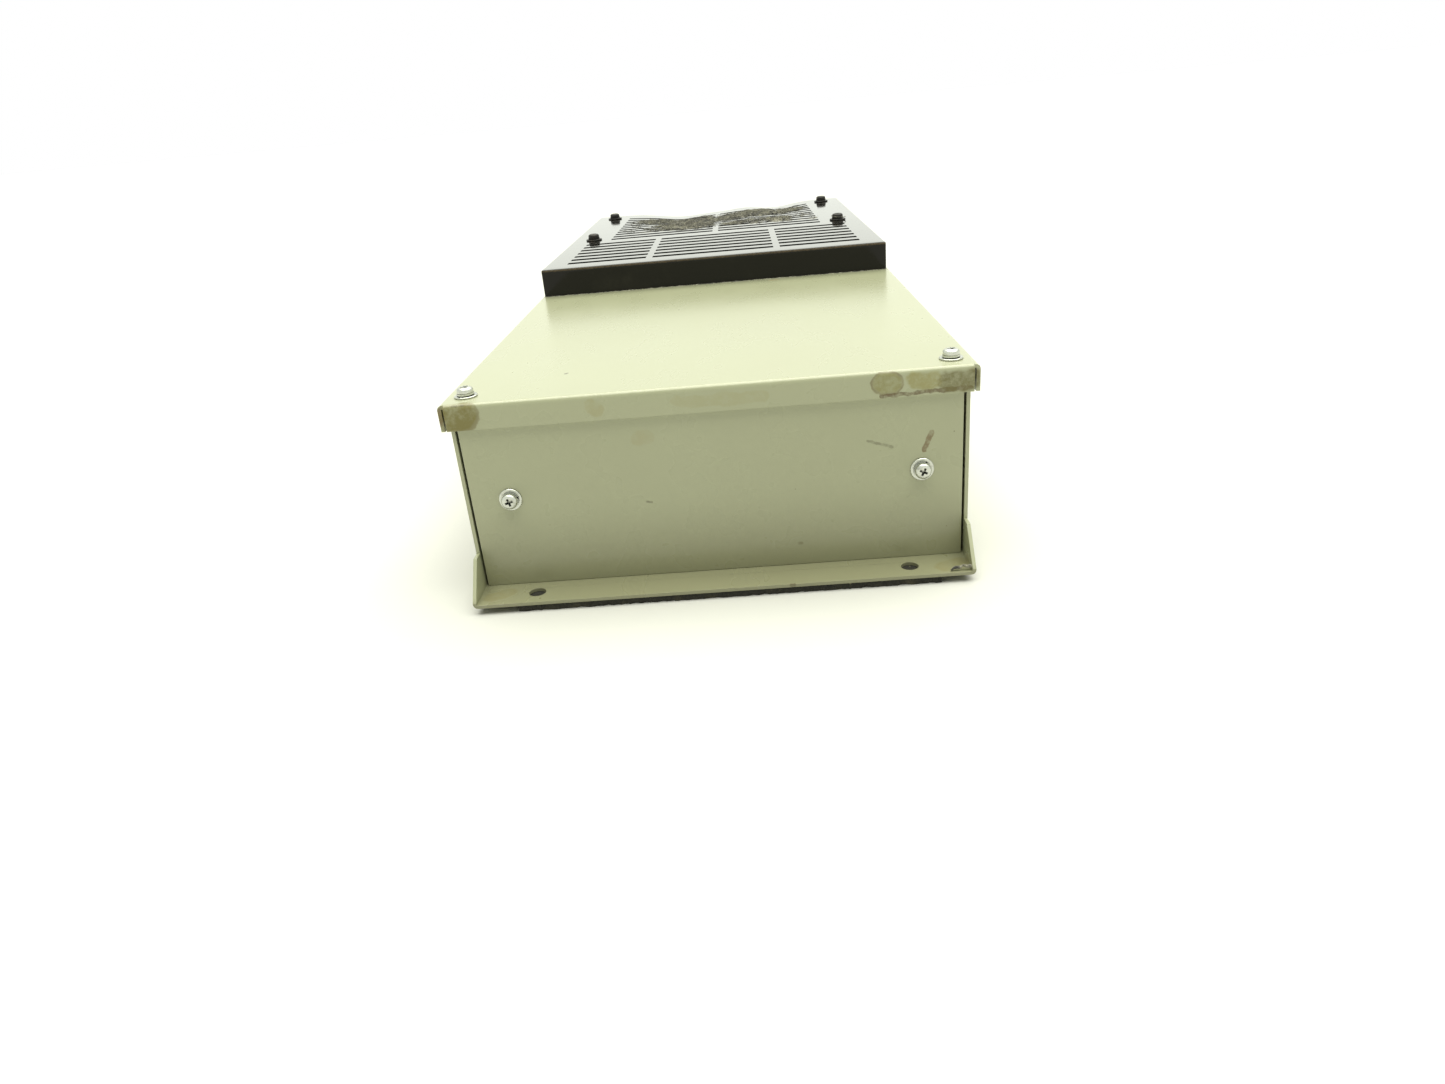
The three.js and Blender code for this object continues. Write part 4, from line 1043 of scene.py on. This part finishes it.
def add_gaskets():
    """Foam strips along the back of the flanges and walls, cut rough and worn away at the near corners."""
    rubber = foam("Neoprene foam strip", "#2B2A22")
    for name in ("gasket_near", "gasket_far", "gasket_left", "gasket_right"):
        low, high = low_high(name)
        bm = bmesh.new()
        start, stop = low.x, high.x
        if name == "gasket_near":
            start, stop = low.x + 19 * MM, high.x - 14 * MM
        long_x = high.x - low.x > high.y - low.y
        if long_x:
            us = stations(start, stop, 1.2 * MM)
        else:
            us = stations(low.y, high.y, 2.5 * MM)
        across = stations(low.y, high.y, 3 * MM) if long_x else stations(low.x, high.x, 3 * MM)
        ring = [(v, 0.0) for v in across] + [(across[-1], 0.5), (across[-1], 1.0)]
        ring += [(v, 1.0) for v in reversed(across)] + [(across[0], 0.5)]
        ring = list(dict.fromkeys(ring))
        rows = []
        middle = (across[0] + across[-1]) / 2
        for u in us:
            row = []
            for v, h in ring:
                rough = abs(noise.noise(Vector((u / 0.004, v / 0.02, h * 2)))) * 1.6 * MM
                rough += abs(noise.noise(Vector((u / 0.0013, h * 3, 5)))) * 0.5 * MM
                if abs(v - middle) > (across[-1] - across[0]) / 2 - EPS:
                    v += -rough if v > middle else rough
                z = low.z + (high.z - low.z) * h
                row.append(bm.verts.new((u, v, z) if long_x else (v, u, z)))
            rows.append(row)
        count = len(ring)
        for a, b in zip(rows, rows[1:]):
            for k in range(count):
                bm.faces.new((a[k], b[k], b[(k + 1) % count], a[(k + 1) % count]))
        bm.faces.new(rows[0])
        bm.faces.new(list(reversed(rows[-1])))
        put(name + "_foam", bm, [rubber], [name], 60)


LINT_DEPTH = 0.7 * MM  # what one unit of the clump pattern stands for
LINT_CAP = 2.0 * MM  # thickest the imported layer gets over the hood


def lint_height(x, y):
    """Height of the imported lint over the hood's top; below zero there is none."""
    far = low_high("vent_hood")[1].y
    middle = far - 0.100
    reach = max(abs(x - 0.004) / 0.072, abs(y - middle) / 0.066)
    place = Vector((x / 0.018, y / 0.014, 0.7))
    clump = noise.fractal(place, 0.9, 2.1, 4)
    ridge = noise.noise(Vector((x / 0.006, y / 0.0055, 2.3)))
    extra = 1.6 * bell(x, 0.030, 0.009) * bell(y, far - 0.060, 0.016)
    bare = 1.5 * bell(x, 0.032, 0.022) * bell(y, far - 0.105, 0.020)
    post = 1.2 * bell(x, 0.0, 0.0045) * (1 - bell(y, far - 0.015, 0.040))
    return (0.30 - 1.2 * reach**3 + 1.5 * clump + 0.8 * ridge + extra - bare - post) * LINT_DEPTH


def on_hood(x, y, hood):
    return low_high("vent_hood")[1].z - hood_sag(x, y, hood.sag)


def add_lint(lint, hood):
    """Lint caught on the intake grille: a felted skin with lumps and hollows, and loose fibres."""
    random.seed(lint.seed)
    hood_high = low_high("vent_hood")[1]
    step = 1.5 * MM
    xs = stations(-0.080, 0.084, step)
    ys = stations(hood_high.y - 0.150, hood_high.y - 0.008, step)
    heights = {}
    for i, x in enumerate(xs):
        for j, y in enumerate(ys):
            heights[i, j] = lint_height(x, y)
    surface_z = {}
    bm = bmesh.new()
    verts = {}

    def corner(i, j):
        if (i, j) not in verts:
            x, y = xs[i], ys[j]
            fuzz = noise.noise(Vector((x / 0.0022, y / 0.0022, 9.0))) * 0.5 * MM
            h = heights[i, j]
            z = on_hood(x, y, hood) + min(LINT_CAP, h) + (fuzz if h > 0 else -0.3 * MM)
            surface_z[i, j] = z
            verts[i, j] = bm.verts.new((x + fuzz * 0.6, y - fuzz * 0.4, min(z, 0.1113)))
        return verts[i, j]

    for i in range(len(xs) - 1):
        for j in range(len(ys) - 1):
            around = [(i, j), (i + 1, j), (i + 1, j + 1), (i, j + 1)]
            if max(heights[key] for key in around) > -0.25 * MM:
                bm.faces.new([corner(*key) for key in around])
    wool = felt("Felted lint", lint)
    piece = put("lint_mat", bm, [wool], (), 180)
    modify(piece, "SOLIDIFY", thickness=0.4 * MM, offset=-1)
    shade(piece, 180)

    curve = bpy.data.curves.new("lint_fibres", "CURVE")
    curve.dimensions = "3D"
    curve.bevel_depth = lint.fibre_radius
    curve.bevel_resolution = 0
    made = 0
    tries = 0
    while made < lint.fibres and tries < lint.fibres * 12:
        tries += 1
        x = random.uniform(-0.078, 0.082)
        y = random.uniform(hood_high.y - 0.148, hood_high.y - 0.010)
        h = lint_height(x, y)
        if h < -0.1 * MM:
            continue
        made += 1
        angle = random.uniform(0, 2 * math.pi)
        bend = random.uniform(-1.0, 1.0)
        rise = random.uniform(0.1, 1.0) * MM
        span = random.uniform(1.0, 2.6) * MM
        spline = curve.splines.new("POLY")
        spline.points.add(4)
        for k in range(5):
            z = on_hood(x, y, hood) + max(0.0, min(LINT_CAP, lint_height(x, y))) + rise * math.sin(math.pi * k / 4)
            spline.points[k].co = (x, y, min(z + 0.1 * MM, 0.1115), 1)
            spline.points[k].radius = random.uniform(0.4, 1.0)
            x += span * math.cos(angle)
            y += span * math.sin(angle)
            angle += bend * random.uniform(0.2, 0.9)
    fibres = bpy.data.objects.new("lint_fibres", curve)
    bpy.context.scene.collection.objects.link(fibres)
    curve.materials.append(felt("Loose fibres", lint))
    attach(fibres, BODY)


def curl(name, points, radius, material):
    """A twisted shred laid along points."""
    curve = bpy.data.curves.new(name, "CURVE")
    curve.dimensions = "3D"
    curve.bevel_depth = radius
    curve.bevel_resolution = 1
    spline = curve.splines.new("NURBS")
    spline.points.add(len(points) - 1)
    spline.use_endpoint_u = True
    for i, point in enumerate(points):
        spline.points[i].co = (*point, 1)
        spline.points[i].radius = 0.5 + 0.7 * abs(math.sin(i * 2.1))
        spline.points[i].tilt = i * 0.9
    piece = bpy.data.objects.new(name, curve)
    bpy.context.scene.collection.objects.link(piece)
    curve.materials.append(material)
    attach(piece, BODY)


def add_debris(lint):
    """Dirt along the hood's foot, a shred at a flange corner and a thread on a hood screw."""
    random.seed(lint.seed + 4)
    grime = felt("Caked dust", lint)
    low, high = low_high("vent_hood")
    top = low_high("front_cover")[1].z
    bm = bmesh.new()
    rows = []
    for x in stations(low.x, high.x, 0.8 * MM):
        width = (0.25 + 1.1 * max(0.0, noise.noise(Vector((x / 0.004, 1, 1))) + 0.15)) * MM
        height = 0.25 * MM + 0.3 * width
        y = low.y + 0.1 * MM
        row = [(x, y, top), (x, y - width, top), (x, y - 0.5 * width, top + 0.6 * height), (x, y, top + height)]
        rows.append([bm.verts.new(point) for point in row])
    for a, b in zip(rows, rows[1:]):
        for k in range(4):
            bm.faces.new((a[k], b[k], b[(k + 1) % 4], a[(k + 1) % 4]))
    bm.faces.new(rows[0])
    bm.faces.new(list(reversed(rows[-1])))
    put("hood_foot_dust", bm, [grime], (), 60)
    shred = [(0.0985, -0.2962, 0.0052), (0.1005, -0.2950, 0.0064), (0.1020, -0.2962, 0.0056), (0.1040, -0.2948, 0.0072)]
    shred += [(0.1056, -0.2962, 0.0058), (0.1072, -0.2952, 0.0070), (0.1080, -0.2964, 0.0052)]
    curl("flange_corner_shred", shred, 0.7 * MM, grime)
    screw = centre_of("hood_screw_near_right")
    head = low_high("hood_screw_near_right")[1].z
    thread = []
    for i in range(12):
        angle = i * 0.62
        reach = (3.0 + 0.35 * i) * MM
        lift = head - 0.4 * MM - i * 0.25 * MM
        thread.append((screw.x + reach * math.cos(angle), screw.y + reach * math.sin(angle), min(lift, 0.1112)))
    curl("hood_screw_thread", thread, 0.22 * MM, grime)


# ------------------------------------------------------------------ carried-over CAD nodes


def finish_nodes():
    """Gives every carried-over CAD node its own finish, by the record's slot."""
    finishes = {
        "brown_black_plastic": lambda: moulded("Fan plastic", "#23221F"),
        "fan_plastic": lambda: moulded("Glass-filled fan plastic", "#1D1D1C", 0.5, 0.0005, "#8C8877", 0.35),
        "module_resin": lambda: moulded("Module epoxy", "#2A2B2E", 0.5),
        "zinc_plate": lambda: plated("Zinc-plated steel", "#B9BBBC", 0.34),
        "black_oxide": lambda: plated("Blackened steel", "#2A2927", 0.45, "#5B4A38", 0.7),
        "sink_aluminium": lambda: plated("Extruded aluminium", "#B4B6B8", 0.4, "#85857F", 1.0, (1.0, 0.05, 1.0)),
        "stud_brass": lambda: plated("Brass", "#B79A55", 0.3, "#6E5527"),
        "grommet_rubber": lambda: moulded("Grommet rubber", "#1C1C1B", 0.7, 0.0006, "#7C7868", 0.3),
        "foam_rubber": lambda: foam("Foam", "#2B2A22"),
        "circuit_board": lambda: circuit("Circuit board"),
        "capacitor_sleeve": lambda: moulded("Capacitor vinyl sleeve", "#1F2F55", 0.3),
        "silicon_steel": lambda: layered("Laminated core steel", "#77787A", "#3A3A3C", 0.0007, "Z", 0.45, 0.8),
        "copper_enamel": lambda: layered("Enamelled copper wire", "#9A4E22", "#5A2810", 0.0016, "Z", 0.3, 0.4),
        "terminal_plastic": lambda: moulded("Terminal polyamide", "#3A3B3D", 0.5),
        "relay_plastic": lambda: moulded("Relay polycarbonate", "#34465E", 0.3),
        "terminal_green": lambda: moulded("Green terminal polyamide", "#2F7A3F", 0.45),
        "trimmer_blue": lambda: moulded("Blue trimmer nylon", "#2B5FA6", 0.4),
        "trimmer_white": lambda: moulded("White trimmer nylon", "#D9D8D0", 0.45),
        "button_red": lambda: moulded("Red button plastic", "#A9231D", 0.35),
        "beige_paint": lambda: moulded("Spare enamel", "#B7B797", 0.35),
    }
    made = {}
    slots = {part["node"]: part["material_slot"] for part in frame["record"]["subparts"]}
    for name, node in frame["nodes"].items():
        slot = slots[name]
        if slot not in made:
            made[slot] = finishes[slot]()
        node.data.materials.clear()
        node.data.materials.append(made[slot])
        node.data.set_sharp_from_angle(angle=math.radians(30))
        bevel = node.modifiers.new("Moulded edges", "BEVEL")
        bevel.width = 0.25 * MM
        bevel.segments = 1
        bevel.limit_method = "ANGLE"
        bevel.angle_limit = math.radians(50)


# ------------------------------------------------------------------ stage


def add_stage(stage):
    """A pale floor, a wide soft light from overhead and the camera."""
    scene = bpy.context.scene
    scene.view_settings.view_transform = "Standard"
    bm = bmesh.new()
    bmesh.ops.create_grid(bm, x_segments=8, y_segments=8, size=30.0)
    mesh = bpy.data.meshes.new("floor")
    bm.to_mesh(mesh)
    bm.free()
    floor = bpy.data.objects.new("floor", mesh)
    floor.location.z = -0.1 * MM
    scene.collection.objects.link(floor)
    paper, tree, surface, place = new_material("Pale seamless paper", stage.floor, 0.9)
    tint(tree, surface, ramp(tree, noise_at(tree, place, 0.4, 2.0), 0.4, 0.7, 0.0, 0.2), "#CBCBC6")
    mesh.materials.append(paper)

    world = bpy.data.worlds.new("tent")
    world.use_nodes = True
    tree = world.node_tree
    tree.nodes.clear()
    rays = add_node(tree, "ShaderNodeLightPath").outputs
    tent = add_node(tree, "ShaderNodeBackground", {"Color": linear("#FBFFEE"), "Strength": stage.sky}).outputs[0]
    sheen = add_node(tree, "ShaderNodeBackground", {"Color": linear("#FCFFF5"), "Strength": 1.15}).outputs[0]
    white = add_node(tree, "ShaderNodeBackground", {"Color": linear("#FFFFFF"), "Strength": 1.0}).outputs[0]
    mixed = add_node(tree, "ShaderNodeMixShader", {0: rays["Is Glossy Ray"], 1: tent, 2: sheen}).outputs[0]
    mixed = add_node(tree, "ShaderNodeMixShader", {0: rays["Is Camera Ray"], 1: mixed, 2: white}).outputs[0]
    add_node(tree, "ShaderNodeOutputWorld", {"Surface": mixed})
    scene.world = world

    overhead = bpy.data.lights.new("overhead", "SUN")
    overhead.angle = math.radians(80)
    overhead.energy = stage.key
    overhead.color = linear("#FFFFF4")[:3]
    lamp = bpy.data.objects.new("overhead", overhead)
    lamp.location = (0, 0, 2)
    lamp.rotation_euler = (math.radians(-8), math.radians(6), 0)
    scene.collection.objects.link(lamp)

    pitch, yaw, roll = (math.radians(value) for value in (24.387, -2.566, -5.161))
    forward = Vector((math.sin(yaw) * math.cos(pitch), math.cos(yaw) * math.cos(pitch), -math.sin(pitch)))
    right = Vector((math.cos(yaw), -math.sin(yaw), 0))
    up = right.cross(forward)
    cam_x = math.cos(roll) * right + math.sin(roll) * up
    cam_y = -math.sin(roll) * right + math.cos(roll) * up
    turn = Matrix((cam_x, cam_y, -forward)).transposed().to_4x4()
    camera = bpy.data.cameras.new("camera")
    camera.sensor_width = 36.0
    camera.sensor_fit = "HORIZONTAL"
    camera.lens = stage.lens
    camera.clip_start = 0.01
    eye = bpy.data.objects.new("camera", camera)
    scene.collection.objects.link(eye)
    eye.matrix_world = Matrix.Translation((18.55 * MM, -667.15 * MM, 194.49 * MM)) @ turn
    scene.camera = eye


# ------------------------------------------------------------------ operators and panel


def has_frame(names):
    """Raises if a needed CAD node is missing."""
    missing = [name for name in names if name not in frame["nodes"]]
    if missing:
        raise RuntimeError("The frame has no node named " + ", ".join(missing))


class DRIVE_OT_case(bpy.types.Operator):
    """Adds the folded back of the case and its two end panels."""

    bl_idname = "drive.case"
    bl_label = "Add Case"

    def execute(self, context):
        has_frame(["base_pan", "near_end_panel", "far_end_panel"])
        settings = context.scene.drive_sheet
        add_pan(settings)
        add_end_panel("near_end_panel", settings)
        add_end_panel("far_end_panel", settings)
        return {"FINISHED"}


class DRIVE_OT_cover(bpy.types.Operator):
    """Adds the lipped front cover."""

    bl_idname = "drive.cover"
    bl_label = "Add Cover"

    def execute(self, context):
        has_frame(["front_cover"])
        add_cover(context.scene.drive_sheet)
        return {"FINISHED"}


class DRIVE_OT_hood(bpy.types.Operator):
    """Adds the slotted hood, sunk by heat at its far end."""

    bl_idname = "drive.hood"
    bl_label = "Add Hood"

    def execute(self, context):
        has_frame(["vent_hood"])
        add_hood(context.scene.drive_hood)
        return {"FINISHED"}


class DRIVE_OT_screws(bpy.types.Operator):
    """Adds the case, cover and hood screws with their washers."""

    bl_idname = "drive.screws"
    bl_label = "Add Screws"

    def execute(self, context):
        has_frame(SCREWS)
        add_screws(context.scene.drive_screws)
        return {"FINISHED"}


class DRIVE_OT_gaskets(bpy.types.Operator):
    """Adds the foam strips on the back of the case."""

    bl_idname = "drive.gaskets"
    bl_label = "Add Gaskets"

    def execute(self, context):
        has_frame(["gasket_near", "gasket_far", "gasket_left", "gasket_right"])
        add_gaskets()
        return {"FINISHED"}


class DRIVE_OT_lint(bpy.types.Operator):
    """Adds the lint caught on the intake grille."""

    bl_idname = "drive.lint"
    bl_label = "Add Lint"

    def execute(self, context):
        has_frame(["vent_hood"])
        add_lint(context.scene.drive_lint, context.scene.drive_hood)
        return {"FINISHED"}


class DRIVE_OT_debris(bpy.types.Operator):
    """Adds the dust along the hood's foot and two loose shreds."""

    bl_idname = "drive.debris"
    bl_label = "Add Debris"

    def execute(self, context):
        has_frame(["vent_hood", "front_cover", "hood_screw_near_right"])
        add_debris(context.scene.drive_lint)
        return {"FINISHED"}


class DRIVE_OT_nodes(bpy.types.Operator):
    """Finishes the CAD nodes that are shown as they are."""

    bl_idname = "drive.nodes"
    bl_label = "Finish CAD Nodes"

    def execute(self, context):
        finish_nodes()
        return {"FINISHED"}


class DRIVE_OT_stage(bpy.types.Operator):
    """Adds the floor, the lights and the camera."""

    bl_idname = "drive.stage"
    bl_label = "Add Stage"

    def execute(self, context):
        add_stage(context.scene.drive_stage)
        return {"FINISHED"}


OPERATORS = (
    DRIVE_OT_stage,
    DRIVE_OT_nodes,
    DRIVE_OT_case,
    DRIVE_OT_cover,
    DRIVE_OT_hood,
    DRIVE_OT_screws,
    DRIVE_OT_gaskets,
    DRIVE_OT_lint,
    DRIVE_OT_debris,
)


class DRIVE_PT_panel(bpy.types.Panel):
    """Lists the drive's pieces in the sidebar."""

    bl_idname = "DRIVE_PT_panel"
    bl_label = "Variable Frequency Drive"
    bl_space_type = "VIEW_3D"
    bl_region_type = "UI"
    bl_category = "Drive"

    def draw(self, context):
        for operator in OPERATORS:
            self.layout.operator(operator.bl_idname)
        for name, group in SETTINGS.items():
            box = self.layout.box()
            for field in group.__annotations__:
                box.prop(getattr(context.scene, name), field)


CLASSES = (*SETTINGS.values(), *OPERATORS, DRIVE_PT_panel)


def register():
    for cls in CLASSES:
        bpy.utils.register_class(cls)
    for name, group in SETTINGS.items():
        setattr(bpy.types.Scene, name, bpy.props.PointerProperty(type=group))


def unregister():
    for name in SETTINGS:
        delattr(bpy.types.Scene, name)
    for cls in reversed(CLASSES):
        bpy.utils.unregister_class(cls)


def main():
    register()
    for operator in OPERATORS:
        group, name = operator.bl_idname.split(".")
        getattr(getattr(bpy.ops, group), name)()


if __name__ == "__main__":
    main()
